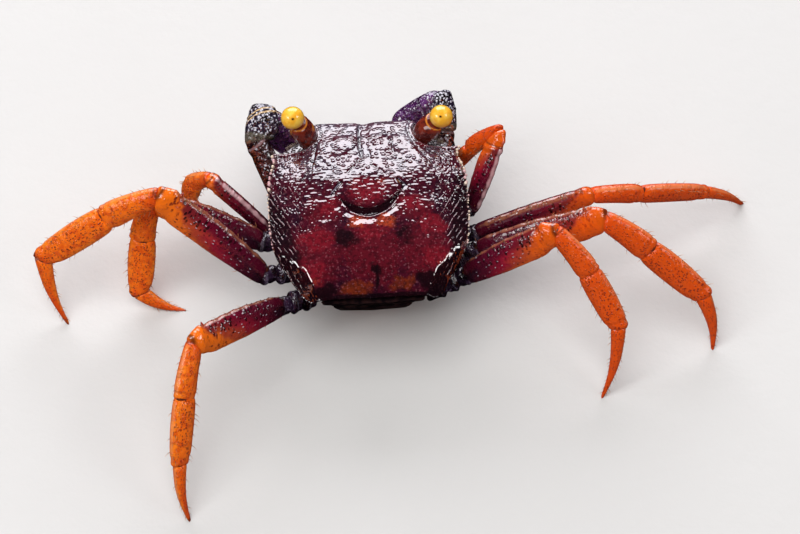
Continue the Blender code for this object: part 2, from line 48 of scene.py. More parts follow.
# The shell's middle and front give the origin of "across" (crab's left is +) and "ahead", in millimetres
SHELL_LOW, SHELL_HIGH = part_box("carapace")
SHELL_MIDDLE = 0.5 * (SHELL_LOW.x + SHELL_HIGH.x)
SHELL_FRONT = 10.1
SIDES = {"left": 1.0, "right": -1.0}
LEG_PARTS = ("hip", "merus", "carpus", "propodus", "dactylus")
CLAW_PARTS = ("arm", "wrist", "palm")

# Face size of the skins, in millimetres
SHELL_FACE = 0.11
LEG_FACE = 0.11
FINE_FACE = 0.075
UNDERSIDE_FACE = 0.16

# Size of one bristle's patch on the bake map, the width of a segment's column there and the map's free edge;
# then how many bristles an edge of each segment has, and their length
BAKE_PATCH = 0.003
BAKE_COLUMN = 0.024
BAKE_EDGE = 0.02
BRISTLES = {"merus": (5, 0.4), "carpus": (9, 0.5), "propodus": (15, 0.55), "dactylus": (16, 0.42)}
BRISTLE_WIDE = (0.055, 0.085)
BRISTLE_ROOT = 0.05

# Where the bristles of a segment start, how far they reach as a share of it, how far each strays from its
# place in the row, and its length as a share of the one above
BRISTLES_FROM, BRISTLES_SPAN = 0.06, 0.88
BRISTLE_STRAY = 0.35
BRISTLE_TALL = (0.55, 1.2)

# One tooth and one bristle as a bent cone: its sides, the radius of its tip, its cuts and its bend
TOOTH_FORM = (8, 0.08, (0.5,), 0.25)
BRISTLE_FORM = (4, 0.12, (0.35, 0.7), 2.2)

# Bristles of each orbit: their number, width and length
ORBIT_BRISTLES = 46
ORBIT_BRISTLE_WIDE = (0.035, 0.05)
ORBIT_BRISTLE_TALL = (0.25, 0.5)

# White grains along the shell's sides: where their row starts and ends, their size and their distance, how
# low they may sit, and the place ahead of which they are larger than this size and behind it smaller
BEAD_ROW = (-3.4, 6.6)
BEAD_WIDE = (0.12, 0.30)
BEAD_APART = (0.22, 0.44)
BEADS_ABOVE = 9.4
BEADS_LARGER_FROM = 2.0
BEAD_LARGER, BEAD_SMALLER = 1.25, 0.85

# Teeth on a merus: their number, where their row starts and how long it is, as shares of the merus, their
# width and height, and the place, width and height of the larger one before the knee
TEETH = 14
TEETH_FROM, TEETH_SPAN = 0.14, 0.64
TOOTH_SIZE = (0.22, 0.17)
KNEE_TOOTH_AT = 0.875
KNEE_TOOTH_SIZE = (0.42, 0.42)

# Rings and furrows of a hip, as shares of its length, and how high, deep and lumpy they are
HIP_RINGS = (0.30, 0.62, 0.93)
HIP_FURROWS = (0.40, 0.72)
HIP_RING_UP = 0.16
HIP_FURROW_DEEP = 0.22
HIP_LUMPS = 0.10

# Thickness of the skin in a joint, and how much wider it is than the gap's own spread
MEMBRANE_THICK = 0.45
MEMBRANE_FULL = 1.05

# How near the corners at a joint are to be part of it, how far a limb's root and tip reach, and the slices
# that a segment is measured in
JOINT_NEAR = 0.35
ROOT_REACH = 0.6
TIP_REACH = 0.15
SLICES = 24

# How much longer a limb's skin is than its node, how high the collar at its end is, and how far the skins
# stand out again after their rounding
LIMB_LONGER = 0.5
COLLAR_UP = 0.07
FULLER = 0.10
CLAW_FULLER = 0.20
STALK_FULLER = 0.22

# Relief of the back, as places across and ahead: the smile-shaped furrow, the short furrows beside the
# stomach region, the branchial furrows, the furrows of the front, and the lines beside the orbits
SMILE_MIDDLE = -0.55
SMILE_BEND = 0.22
SMILE_REACH = {"left": 2.55, "right": 3.1}
SMILE_HALF = 0.36
STOMACH_LINES = (((3.3, 1.2), (2.9, 1.7), (2.3, 2.5)), ((-3.0, 1.5), (-3.3, 1.9), (-2.7, 2.6)))
FURROWS = (((1.9, -0.5), (3.2, -1.9), (4.4, -2.1), (6.5, -1.9)), ((-2.6, -0.5), (-4.1, -1.8), (-5.6, -1.2)))
FRONT_GROOVE = ((0.4, 5.4), (0.5, 7.4), (0.42, 10.6))
FRONT_FURROWS = (
    ((1.9, 3.4), (0.8, 4.4), (0.4, 6.2)),
    ((-1.7, 3.1), (-0.5, 4.3), (-0.1, 7.2)),
    ((-2.6, 5.6), (-2.0, 8.6)),
)
BROWS = (
    ((4.45, 8.3), (4.5, 6.3), (4.9, 4.2), (6.0, 2.8)),
    ((-4.0, 8.4), (-4.3, 7.0), (-5.2, 5.3), (-6.3, 3.6)),
    ((-4.5, 8.2), (-4.9, 7.0), (-6.0, 5.7), (-7.5, 5.0)),
    ((3.7, 4.6), (4.4, 5.6)),
)
REAR_LINE = ((-0.4, -5.6), (-0.4, -7.6))

# Half widths of the furrows, and of the painted glint lines along the stomach's
STOMACH_HALF = 0.24
FURROW_HALF = 0.25
FRONT_HALF = 0.17
GROOVE_HALF = 0.26
BROW_HALF = 0.14
REAR_LINE_HALF = 0.2
STOMACH_GLINT_HALF = 0.07

# How deep the furrows are, how far the lips beside them stand up, and the shell's low lumps
SMILE_DEEP = 0.42
SMILE_LIP_UP = 0.09
STOMACH_DEEP = 0.13
FURROW_DEEP = 0.03
FRONT_DEEP = 0.13
GROOVE_DEEPER = 2.0
BROW_DEEP = 0.12
REAR_LINE_DEEP = 0.05
ORBIT_RIM_UP = 0.10
LUMPS_UP = 0.10
SMALL_LUMPS_UP = 0.030

# Where the back ends and the flank begins: half widths at places ahead
BACK_PLACES = (-8.3, -7.1, -6.2, -4.9, -3.8, -2.4, -1.5)
BACK_HALVES = (4.7, 5.35, 5.75, 7.0, 8.2, 8.82, 9.5)

# The lower edge of the orbit: its height, and how far it stands out of the wall
LOWER_LID_UP = 8.9
LOWER_LID_OUT = 1.3

# How often the front third is smoothed, how far its edge is lifted, a low crown that turns it towards the
# light, how far the brow beside each orbit is lowered, and how far the shoulder behind it is raised
LEVELLING_ROUNDS = 160
EDGE_UP = 0.3
CROWN_UP = 0.28
CROWN_AT = 2.4
CROWN_HALF = 3.2
BROW_DOWN = 0.32
SHOULDER_UP = 0.25

# Half width of the red back at each place ahead, outside which the sides are black
LEFT_RED = ((-8.3, 4.6), (-7.0, 5.6), (-5.0, 6.3), (-3.0, 6.7), (0.0, 7.6), (2.0, 8.4), (4.0, 9.4))
RIGHT_RED = ((-8.3, 4.5), (-7.0, 5.4), (-6.0, 6.2), (-4.5, 7.1), (-2.0, 7.0), (0.0, 7.2), (1.5, 7.5),
             (3.5, 8.5), (5.0, 9.5))

# Coloured patches of the back: place across and ahead, both half sizes, strength and turn
BACK_PATCHES = {
    "warm": ((0.1, 1.5, 2.3, 1.8, 1, 0), (4.0, -0.2, 2.0, 1.6, 1, 0), (-4.0, -0.2, 2.0, 1.6, 1, 0),
             (4.8, -4.6, 2.8, 3.2, 1, 0), (-4.8, -4.6, 2.8, 3.2, 1, 0), (0.0, -4.6, 3.5, 3.4, 1, 0)),
    "red": ((4.7, -3.1, 1.9, 1.2, 1, 0), (-5.6, -1.9, 1.6, 1.1, 1, 0), (5.2, -6.1, 1.3, 1.1, 1, 0),
            (-5.7, -5.0, 1.6, 1.0, 1, -15), (-0.1, -2.4, 1.5, 1.2, 1, 0), (0.1, 1.4, 1.8, 1.3, 1, 0),
            (3.8, 0.0, 0.9, 0.9, 1, 0), (-3.9, 0.3, 0.9, 0.9, 1, 0)),
    "ember": ((1.2, -1.5, 1.1, 0.8, 1, 0), (-1.5, -1.4, 1.1, 0.8, 1, 0), (1.4, 2.3, 0.7, 0.5, 0.5, 0),
              (-1.3, 2.5, 0.7, 0.5, 0.5, 0), (5.3, -6.8, 0.9, 0.5, 0.45, 30),
              (-6.4, -5.4, 0.8, 0.5, 0.45, -30)),
    "fringe": ((1.6, -7.7, 1.9, 0.7, 1, 0), (-2.7, -7.3, 1.6, 0.7, 1, -10)),
    "night": ((2.2, -3.2, 1.2, 0.9, 1, 0), (-3.0, -3.2, 1.0, 1.2, 0.7, 0), (-0.4, -6.1, 0.6, 0.6, 1, 0),
              (-0.4, -7.2, 0.4, 0.8, 0.8, 0), (4.2, -7.7, 1.2, 0.7, 1, 0), (-5.0, -7.0, 1.3, 0.7, 1, -20)),
}

# Middle and half sizes of the hollow round each eye
SOCKET_AT = (6.95, 8.75)
SOCKET_SIZE = (2.58, 2.35)

# Place of each eye's dark point, as shares of the eye's radius to the left and up, seen from the camera,
# where its edge fades, and how much slimmer an eye is low down
PUPIL = {"left": (-0.06, -0.14), "right": (0.08, -0.06)}
PUPIL_EDGE = (0.08, 0.14)
EYE_SLIMMER = 0.035

# The two cream bands over the left wrist, as places ahead at a place across, and how much they lean;
# and how much wider each wrist is towards the crab's right
LEFT_BANDS = (11.08, 11.48)
LEFT_BANDS_ACROSS = 9.2
LEFT_BAND_LEAN = 0.37
WRIST_WIDER = {"left": 0.55, "right": 0.35}

# How far a stalk's skin stands nearer the middle line than the CAD's, at the eye and further at its foot
STALK_IN = (0.22, 0.40)

# Underside: length of a breast ring, height of a ring of the tail flap, how far the flap's top stands back,
# and how deep the lines of the breast, flap and mouthparts are
BREAST_RING = 2.5
FLAP_RING = 1.15
FLAP_BACK = 0.25
BREAST_LINE_DEEP = 0.1
FLAP_LINE_DEEP = 0.12
MOUTH_LINE_DEEP = 0.14

# Camera: lens and sensor in mm, its direction from the crab in degrees round it and up, how far it is from
# the place on the floor that it looks at, that place across and ahead, and the depth it sees, in metres
LENS = 120.0
SENSOR = 36.0
CAMERA_TURN = 3.1
CAMERA_UP = 60.0
CAMERA_FAR = 249.0
LOOK_AT = (-2.83, 0.49)
CAMERA_SEES = (0.01, 10.0)

# Softboxes: direction from the crab as degrees round it (0 is before its face) and up, distance and size in
# metres, power in watts, whether the gloss mirrors it, and its colour; then the even light from all round
WHITE = (1.0, 1.0, 1.0)
SOFTBOXES = {
    "front_softbox": (0.0, 28.0, 0.5, (0.52, 0.37), 1.7, True, (0.95, 0.93, 1.0)),
    "front_fill": (0.0, 28.0, 0.52, (0.52, 0.37), 1.4, False, WHITE),
    "top_fill": (120.0, 76.0, 0.6, (0.50, 0.50), 3.6, False, WHITE),
    "left_fill": (110.0, 40.0, 0.5, (0.16, 0.16), 0.3, True, WHITE),
    "right_fill": (-105.0, 42.0, 0.5, (0.16, 0.16), 0.25, True, WHITE),
}
SKY_STRENGTH = 0.15


def alone(thing):
    """Select one object and nothing else."""
    for other in bpy.context.selected_objects:
        other.select_set(False)
    thing.select_set(True)
    bpy.context.view_layer.objects.active = thing


def apply_modifier(thing, kind, **settings):
    alone(thing)
    change = thing.modifiers.new(kind.title(), kind)
    for name, value in settings.items():
        setattr(change, name, value)
    bpy.ops.object.modifier_apply(modifier=change.name)


def edit_whole(thing, *steps):
    """Run mesh operators on all of a piece; each comes with its settings."""
    alone(thing)
    bpy.ops.object.mode_set(mode="EDIT")
    for operator, settings in steps:
        bpy.ops.mesh.select_all(action="SELECT")
        operator(**settings)
    bpy.ops.object.mode_set(mode="OBJECT")


def merge_corners(thing):
    edit_whole(
        thing,
        (bpy.ops.mesh.remove_doubles, {"threshold": 0.001 * MM}),
        (bpy.ops.mesh.tris_convert_to_quads, {}),
        (bpy.ops.mesh.normals_make_consistent, {"inside": False}),
    )


def smooth_faces(thing):
    alone(thing)
    bpy.ops.object.shade_smooth()


def points_of(thing):
    flat = np.empty(len(thing.data.vertices) * 3)
    thing.data.vertices.foreach_get("co", flat)
    return flat.reshape(-1, 3)


def normals_of(thing):
    flat = np.empty(len(thing.data.vertices) * 3)
    thing.data.vertex_normals.foreach_get("vector", flat)
    return flat.reshape(-1, 3)


def move_points(thing, points):
    thing.data.vertices.foreach_set("co", points.ravel())
    thing.data.update()


def paint(thing, **marks):
    """Store numbers for the points of a piece, for its finish to read."""
    for name, values in marks.items():
        values = np.broadcast_to(values, len(thing.data.vertices)).astype(np.float32)
        thing.data.attributes.new(name, "FLOAT", "POINT").data.foreach_set("value", values)


def dress(thing, finish, slot, *nodes):
    """Give a piece its finish and its place in the frame."""
    thing.data.materials.clear()
    thing.data.materials.append(finish)
    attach(thing, "root")
    if nodes:
        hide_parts(*nodes)


def skin_over(node, face, rounds=2, smoothing=6):
    """Copy a CAD node and turn the copy into a rounded skin of small even faces."""
    thing = bpy.data.objects.new(node + "_skin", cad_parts[node].data.copy())
    bpy.context.scene.collection.objects.link(thing)
    merge_corners(thing)
    if rounds:
        apply_modifier(thing, "SUBSURF", levels=rounds, render_levels=rounds)
    apply_modifier(thing, "REMESH", mode="VOXEL", voxel_size=face * MM)
    if smoothing:
        apply_modifier(thing, "SMOOTH", factor=0.5, iterations=smoothing)
    smooth_faces(thing)
    return thing


def across_ahead(points):
    """Places across and ahead of the shell's middle, in millimetres."""
    across = (points[:, 0] - SHELL_MIDDLE) / MM
    ahead = SHELL_FRONT - (points[:, 1] - SHELL_LOW.y) / MM
    return across, ahead


def place(across, ahead, up):
    return Vector((SHELL_MIDDLE + across * MM, SHELL_LOW.y + (SHELL_FRONT - ahead) * MM, up * MM))


def ease(values, low, high):
    """0 below low, 1 above high, and smooth between."""
    share = np.clip((values - low) / (high - low), 0.0, 1.0)
    return share * share * (3.0 - 2.0 * share)


def line_distance(across, ahead, line):
    """Distance from a bent line and the share of the way along it."""
    best = np.full(len(across), 1e9)
    share = np.zeros(len(across))
    runs = len(line) - 1
    for i in range(runs):
        (x0, y0), (x1, y1) = line[i], line[i + 1]
        dx, dy = x1 - x0, y1 - y0
        at = np.clip(((across - x0) * dx + (ahead - y0) * dy) / (dx * dx + dy * dy), 0.0, 1.0)
        far = np.hypot(across - x0 - at * dx, ahead - y0 - at * dy)
        nearer = far < best
        best[nearer] = far[nearer]
        share[nearer] = (i + at[nearer]) / runs
    return best, share


def crease(across, ahead, line, half_wide):
    """1 in the middle of a furrow that thins out at both ends."""
    far, share = line_distance(across, ahead, line)
    wide = half_wide * (0.35 + 0.65 * np.sin(np.pi * share) ** 0.5)
    return np.exp(-(far / wide) ** 2)


def cleft(across, ahead, line, half_wide):
    """1 at the bottom of a sharp furrow with straight sides."""
    far, share = line_distance(across, ahead, line)
    return np.clip(1.0 - far / half_wide, 0.0, 1.0) * (1.0 - share ** 6)


def patch(across, ahead, at, size, turn=0.0):
    """1 in the middle of an oval patch, falling to 0 outside it."""
    c, s = math.cos(math.radians(turn)), math.sin(math.radians(turn))
    x, y = across - at[0], ahead - at[1]
    far = np.hypot((x * c + y * s) / size[0], (y * c - x * s) / size[1])
    return 1.0 - ease(far, 0.45, 1.25)


def strongest(across, ahead, patches):
    """The strongest of several patches at each place."""
    shares = []
    for x, y, long, wide, strength, turn in patches:
        shares.append(strength * patch(across, ahead, (x, y), (long, wide), turn))
    return np.max(shares, axis=0)


def rough(points, size, seed):
    """Soft noise from -1 to 1 at each point, with lumps of about the given size in millimetres."""
    scale = 1.0 / (size * MM)
    shift = Vector((seed, 2.0 * seed, 3.0 * seed))
    return np.array([noise.noise(Vector(point) * scale + shift) for point in points])


class Finish:
    """A material put together from nodes: colours laid one over another, and a relief built up in layers."""

    def __init__(self, name, roughness, coat=0.0, coat_roughness=0.08, specular=0.5, coat_ior=1.5):
        self.material = bpy.data.materials.new(name)
        self.material.use_nodes = True
        self.tree = self.material.node_tree
        self.shader = self.tree.nodes["Principled BSDF"]
        self.shader.inputs["Roughness"].default_value = roughness
        self.shader.inputs["Coat Weight"].default_value = coat
        self.shader.inputs["Coat Roughness"].default_value = coat_roughness
        self.shader.inputs["Coat IOR"].default_value = coat_ior
        self.shader.inputs["Specular IOR Level"].default_value = specular
        self.place = self.node("TexCoord").outputs["Object"]
        self.colour = None
        self.relief = None

    def node(self, kind, inputs=(), **settings):
        made = self.tree.nodes.new("ShaderNode" + kind)
        for name, value in settings.items():
            setattr(made, name, value)
        for name, value in dict(inputs).items():
            self.set(made.inputs[name], value)
        return made

    def set(self, socket, value):
        if isinstance(value, bpy.types.NodeSocket):
            self.tree.links.new(value, socket)
        elif isinstance(value, tuple) and len(value) == 3 and socket.type == "RGBA":
            socket.default_value = (*value, 1.0)
        else:
            socket.default_value = value

    def mark(self, name):
        """A number painted on the piece."""
        return self.node("Attribute", attribute_name=name).outputs["Fac"]

    def sum(self, a, b, kind="ADD"):
        return self.node("Math", {0: a, 1: b}, operation=kind).outputs[0]

    def times(self, value, *others):
        for other in others:
            value = self.sum(value, other, "MULTIPLY")
        return value

    def most(self, value, *others):
        for other in others:
            value = self.sum(value, other, "MAXIMUM")
        return value

    def less(self, a):
        """One minus a value."""
        return self.sum(1.0, a, "SUBTRACT")

    def unsigned(self, a):
        return self.node("Math", {0: a}, operation="ABSOLUTE").outputs[0]

    def fade(self, value, low, high):
        """0 below low, 1 above high, smooth between; low may be the higher one."""
        span = {"Value": value, "From Min": low, "From Max": high}
        return self.node("MapRange", span, interpolation_type="SMOOTHSTEP").outputs[0]

    def stretched(self, size, turn=0.0):
        """Places in the piece, stretched so that a pattern's cell has the given size or sizes, in mm."""
        size = size if isinstance(size, tuple) else (size, size, size)
        turned = self.node("Mapping", {"Vector": self.place, "Rotation": (0.0, 0.0, math.radians(turn))})
        scale = tuple(1.0 / (value * MM) for value in size)
        return self.node("Mapping", {"Vector": turned.outputs[0], "Scale": scale}).outputs[0]

    def cloud(self, size, detail=3.0):
        """Soft noise from 0 to 1."""
        inputs = {"Vector": self.stretched(size), "Scale": 1.0, "Detail": detail, "Roughness": 0.55}
        return self.node("TexNoise", inputs).outputs["Fac"]

    def drift(self, size, reach, detail=3.0):
        """Soft noise around 0, to move the edges of colours."""
        return self.times(self.sum(self.cloud(size, detail), 0.5, "SUBTRACT"), reach)

    def spots(self, place, random=1.0):
        """Distance from the nearest of many scattered points, 0 at each point."""
        inputs = {"Vector": place, "Scale": 1.0, "Randomness": random}
        return self.node("TexVoronoi", inputs, feature="F1").outputs["Distance"]

    def grains(self, size):
        return self.spots(self.stretched(size))

    def rows(self, run, across, random=0.75):
        """Spots that stand in rough rows along a segment, each row and spot the given mm apart."""
        run_share = self.times(self.mark("run"), 1.0 / run)
        side_share = self.times(self.mark("side"), 1.0 / across)
        return self.spots(self.node("CombineXYZ", {"X": run_share, "Y": side_share}).outputs[0], random)

    def mixed(self, under, top, share):
        made = self.node("Mix", {"Factor": share}, data_type="RGBA")
        self.set(made.inputs[6], under)
        self.set(made.inputs[7], top)
        return made.outputs[2]

    def lay(self, colour, *shares):
        """Lay a colour over the others, as far as all its shares allow."""
        self.colour = self.mixed(self.colour, colour, self.times(*shares))

    def along(self, value, stops):
        """Colours along a value, as (place, colour) stops."""
        made = self.node("ValToRGB", {"Fac": value})
        ramp = made.color_ramp
        while len(ramp.elements) < len(stops):
            ramp.elements.new(0.5)
        for element, (at, colour) in zip(ramp.elements, stops):
            element.position = at
            element.color = (*colour, 1.0)
        self.colour = made.outputs["Color"]

    def emboss(self, deep, *heights):
        """Add a relief of the given depth in millimetres to the one that is there."""
        made = self.node("Bump", {"Height": self.times(*heights), "Distance": deep * MM, "Strength": 1.0})
        if self.relief is not None:
            self.set(made.inputs["Normal"], self.relief)
        self.relief = made.outputs["Normal"]

    def done(self, coat_normal=None):
        self.set(self.shader.inputs["Base Color"], self.colour)
        self.set(self.shader.inputs["Normal"], self.relief)
        self.set(self.shader.inputs["Coat Normal"], coat_normal or self.relief)
        return self.material


# Finishes

WINE = (0.070, 0.004, 0.014)
WINE_RED = (0.125, 0.006, 0.014)
CRIMSON = (0.21, 0.008, 0.018)
EMBER = (0.52, 0.065, 0.02)
RUST = (0.24, 0.032, 0.004)
NIGHT = (0.006, 0.002, 0.004)
PLUM = (0.030, 0.004, 0.014)
LAVENDER = (0.42, 0.36, 0.48)
CREAM = (0.75, 0.62, 0.48)
CORAL = (0.95, 0.170, 0.006)
DEEP_ORANGE = (0.70, 0.070, 0.004)
AMBER = (0.98, 0.27, 0.02)
MAROON = (0.105, 0.003, 0.018)
RUBY = (0.32, 0.007, 0.028)
CLOT = (0.17, 0.010, 0.006)
BLOOD = (0.014, 0.001, 0.003)
PALE_GRAINS_AND_GLINTS = (0.68, 0.66, 0.76)
OLIVE = (0.13, 0.11, 0.075)
VIOLET = (0.125, 0.028, 0.165)
BARK = (0.10, 0.02, 0.008)
PEACH = (0.72, 0.30, 0.12)
OCHRE = (0.74, 0.50, 0.26)
BONE = (0.62, 0.50, 0.38)
ROSE = (0.62, 0.36, 0.38)
# Pinkish colour of the glints painted on the shell's grains
GLINT_PINK = (0.48, 0.15, 0.19)
HIP_BLUE = (0.035, 0.014, 0.040)
FLAP_BROWN = (0.030, 0.010, 0.010)
BELLY_RED = (0.30, 0.09, 0.06)
BELLY_TAN = (0.42, 0.20, 0.12)
BELLY_ROSE = (0.34, 0.12, 0.08)
STALK_DARK = (0.075, 0.008, 0.006)
STALK_RED = (0.20, 0.022, 0.010)
STALK_LINE = (0.66, 0.22, 0.025)
EYE_ORANGE = (0.90, 0.42, 0.03)
EYE_GOLD = (0.98, 0.60, 0.08)
EYE_RIM = (0.72, 0.17, 0.012)
EYE_POINT = (0.02, 0.006, 0.004)
ARM_BROWN = (0.060, 0.014, 0.014)
WRIST_BLUE = (0.020, 0.012, 0.034)
PALM_DARK = (0.045, 0.008, 0.055)
FLOOR_GREY = (0.56, 0.55, 0.54)
FLOOR_PALE = (0.60, 0.59, 0.58)


def shell_finish():
    """Dark wine shell: red and black patches, an orange rear fringe, grains with painted glints, pale painted
    highlights along fine striae, painted sheen on the front, and painted shade in the furrows and orbits.
    """
    skin = Finish("glossy_wine_shell", 0.55, coat=1.0, coat_roughness=0.05, specular=0.08, coat_ior=3.4)
    mark, cloud, grains, fade = skin.mark, skin.cloud, skin.grains, skin.fade
    stir = skin.sum(skin.drift(0.9, 1.0), skin.drift(0.28, 1.1, 1.0))

    def patchy(name, low=0.1, high=1.0):
        return fade(skin.sum(mark(name), stir), low, high)

    waves = []
    for name, turn in (("left_striae", -28), ("right_striae", 30)):
        inputs = {"Vector": skin.stretched(1, turn), "Scale": 0.85, "Distortion": 3.0, "Detail Scale": 1.2}
        wave = skin.node("TexWave", inputs, bands_direction="X").outputs["Fac"]
        waves.append(skin.times(fade(wave, 0.90, 1.0), mark(name)))
    striae = skin.times(skin.most(*waves), fade(cloud(0.6), 0.46, 0.60))
    skin.colour = skin.mixed(WINE, PLUM, fade(cloud(1.6), 0.40, 0.64))
    skin.lay(WINE_RED, patchy("warm"), 0.85)
    skin.lay(CRIMSON, patchy("red"), 0.9)
    skin.lay(EMBER, patchy("ember", 0.25, 1.2), 0.8)
    skin.lay(RUST, patchy("fringe", 0.25, 1.2), 0.7)
    skin.lay(NIGHT, fade(cloud(0.34, 5.0), 0.47, 0.60), 0.45)
    # Painted glints: pinkish dots on the grains, standing in for the light each grain catches.
    skin.lay(GLINT_PINK, fade(grains(0.27), 0.36, 0.16), fade(cloud(0.8), 0.32, 0.52), 0.26)
    # Painted glints: pale short dashes on the transverse ridges behind the front, where they catch the light.
    painted_dash_glints = skin.times(fade(grains((0.75, 0.26, 0.26)), 0.36, 0.10), mark("dashes"))
    skin.lay(ROSE, painted_dash_glints, fade(cloud(0.8), 0.44, 0.6), 0.25)
    skin.lay(NIGHT, patchy("night", 0.15, 0.9), 0.88)
    # Painted shade: the furrows, the smile and the groove behind each orbit rim are darkened towards black.
    skin.lay(NIGHT, fade(mark("crease"), 0.25, 0.65), 0.88)
    # Painted highlights: pale colour along the crests of the fine striae.
    skin.lay(ROSE, striae, 0.4)
    # Painted sheen: a pale lavender tone over the front third, standing in for the light's reflection there.
    skin.lay(LAVENDER, mark("bloom"), fade(cloud(0.8), 0.38, 0.6), 0.10)
    # Painted sheen along the front edge, where the light's reflection falls away.
    skin.lay(LAVENDER, mark("edge"), 0.10)
    # Painted shade: the inside of each eye's hollow is darkened to black and plum.
    skin.lay(skin.mixed(NIGHT, PLUM, fade(cloud(0.6), 0.4, 0.6)), mark("socket"))
    skin.lay(CRIMSON, mark("blush"), 0.8)
    skin.lay(LAVENDER, fade(grains(0.26), 0.36, 0.18), fade(mark("lid"), 0.2, 0.7), 0.6)
    skin.lay(PALE_GRAINS_AND_GLINTS, fade(grains(0.3), 0.34, 0.2), mark("speck"), 0.7)
    # Painted glints: thin pale lines inside the furrows beside the stomach.
    skin.lay(LAVENDER, fade(mark("wisp"), 0.5, 0.9), 0.7)
    skin.lay(ROSE, fade(mark("rim"), 0.5, 0.95), 0.35)
    skin.emboss(0.075, fade(grains(0.42), 0.62, 0.08), mark("front"))
    skin.emboss(0.064, fade(grains((0.88, 0.36, 0.36)), 0.55, 0.05), mark("dashes"))
    skin.emboss(0.14, fade(grains(0.26), 0.5, 0.1), mark("socket"))
    skin.emboss(0.16, cloud(0.6), mark("wall"))
    granules = skin.times(fade(grains(0.36), 0.45, 0.10), skin.less(mark("front")))
    granules = skin.times(granules, skin.less(skin.times(mark("rear"), 0.5)))
    skin.emboss(0.022, skin.sum(granules, skin.times(striae, 0.7)))
    skin.emboss(0.004, cloud(0.2))
    return skin.done()


def thigh_finish(name, orange_from, ridge, ridge_share):
    """A merus: plum upper band with dark strokes, crimson below, orange knee and lower edge, pale crest."""
    skin = Finish(name, 0.42, coat=0.9, coat_roughness=0.07, specular=0.12, coat_ior=2.5)
    mark, cloud, fade, times = skin.mark, skin.cloud, skin.fade, skin.times
    drift = skin.drift(0.9, 0.34)
    crest = skin.sum(mark("crest"), times(drift, 0.8))
    along = skin.sum(skin.sum(mark("along"), drift), times(crest, -0.16))
    skin.along(along, ((0.0, NIGHT), (0.12, PLUM), (0.30, MAROON), (orange_from - 0.22, RUBY),
                       (orange_from, EMBER), (orange_from + 0.12, CORAL)))
    end = fade(along, orange_from - 0.02, orange_from + 0.10)
    skin.lay(MAROON, fade(crest, 0.1, 0.55), skin.less(end), 0.75)
    skin.lay(CORAL, fade(crest, -0.70, -0.90), fade(mark("along"), 0.30, 0.6), 0.8)
    strokes, spots, grains = skin.rows(0.30, 0.55), skin.rows(0.42, 0.30), skin.rows(0.50, 0.24)
    knee = times(fade(mark("along"), 0.42, 0.6), fade(mark("along"), 0.97, 0.88))
    shaft = times(fade(mark("along"), 0.12, 0.3), fade(mark("along"), 0.97, 0.90))
    upper = times(fade(strokes, 0.50, 0.26), shaft, fade(crest, -0.15, 0.2))
    middle = times(fade(spots, 0.40, 0.24), knee, fade(cloud(0.8), 0.50, 0.58))
    lower = times(fade(spots, 0.44, 0.26), knee, fade(crest, -0.3, -0.5), fade(cloud(0.7), 0.42, 0.5))
    skin.lay(skin.mixed(BLOOD, CLOT, end), skin.most(upper, middle, lower), 0.9)
    glinting_granules = times(fade(crest, -0.7, -0.2), skin.less(end), fade(cloud(0.9), 0.34, 0.46))
    # Painted glints: pale dots on the granules of the lower part, standing in for their highlights.
    skin.lay(PALE_GRAINS_AND_GLINTS, fade(grains, 0.24, 0.12), glinting_granules, 0.7)
    skin.lay(ridge, fade(mark("crest"), 0.90, 0.98), ridge_share)
    skin.lay(PEACH, fade(mark("crest"), -0.93, -0.99), 0.7)
    skin.lay(DEEP_ORANGE, end, mark("ruddy"), 0.6)
    skin.lay(NIGHT, mark("joint"), 0.8)
    skin.emboss(0.06, fade(grains, 0.40, 0.10), glinting_granules)
    skin.emboss(0.03, fade(strokes, 0.5, 0.2))
    skin.emboss(0.06, cloud(0.35))
    return skin.done()


def shin_finish(name, stops, speckle, dashes):
    """An orange segment with a net of dark red speckles, dark dashes along its crest, and dark joints."""
    skin = Finish(name, 0.45, coat=0.8, coat_roughness=0.08, specular=0.12, coat_ior=2.0)
    mark, cloud, fade, times = skin.mark, skin.cloud, skin.fade, skin.times
    drift = skin.drift(1.0, 0.4)
    crest = skin.sum(mark("crest"), drift)
    skin.along(skin.sum(mark("along"), times(drift, 0.6)), stops)
    skin.lay(AMBER, fade(skin.unsigned(crest), 0.5, 0.95), 0.55)
    skin.lay(DEEP_ORANGE, fade(cloud(0.6, 5.0), 0.42, 0.62), 0.75)
    skin.lay(DEEP_ORANGE, mark("ruddy"), 0.85)
    net, strokes = skin.rows(0.23, 0.17, 0.9), skin.rows(0.34, 0.50, 0.5)
    band = times(fade(crest, -0.75, -0.25), fade(crest, 0.85, 0.35))
    fine = times(fade(net, 0.46, 0.26), fade(cloud(0.7), 0.36, 0.52), skin.sum(0.35, times(band, 0.65)))
    row = times(fade(strokes, 0.36, 0.20), fade(crest, 0.30, 0.55), fade(crest, 1.0, 0.8))
    row = times(row, fade(cloud(0.9), 0.42, 0.54))
    skin.lay(CLOT, skin.most(times(fine, speckle), times(row, dashes)))
    skin.lay(PEACH, fade(skin.unsigned(mark("crest")), 0.93, 0.99), 0.4)
    skin.lay(BARK, mark("joint"), 0.85)
    skin.emboss(0.045, fade(net, 0.5, 0.1))
    skin.emboss(0.10, cloud(0.45))
    skin.emboss(0.020, cloud(0.12))
    return skin.done()


def hip_finish():
    """Black and blue-grey knobbly hips with pale rims."""
    skin = Finish("black_knobbly_hip", 0.40, coat=1.0, coat_roughness=0.07, specular=0.12, coat_ior=2.7)
    skin.colour = skin.mixed(NIGHT, HIP_BLUE, skin.fade(skin.cloud(0.8), 0.4, 0.62))
    skin.lay(LAVENDER, skin.fade(skin.mark("rings"), 0.85, 1.0), 0.16)
    # Painted glints: lavender specks on the hip's grains, standing in for their highlights.
    skin.lay(LAVENDER, skin.fade(skin.grains(0.3), 0.28, 0.12), skin.fade(skin.cloud(0.8), 0.45, 0.6), 0.4)
    skin.emboss(0.12, skin.cloud(0.35))
    skin.emboss(0.05, skin.fade(skin.grains(0.30), 0.5, 0.0))
    return skin.done()


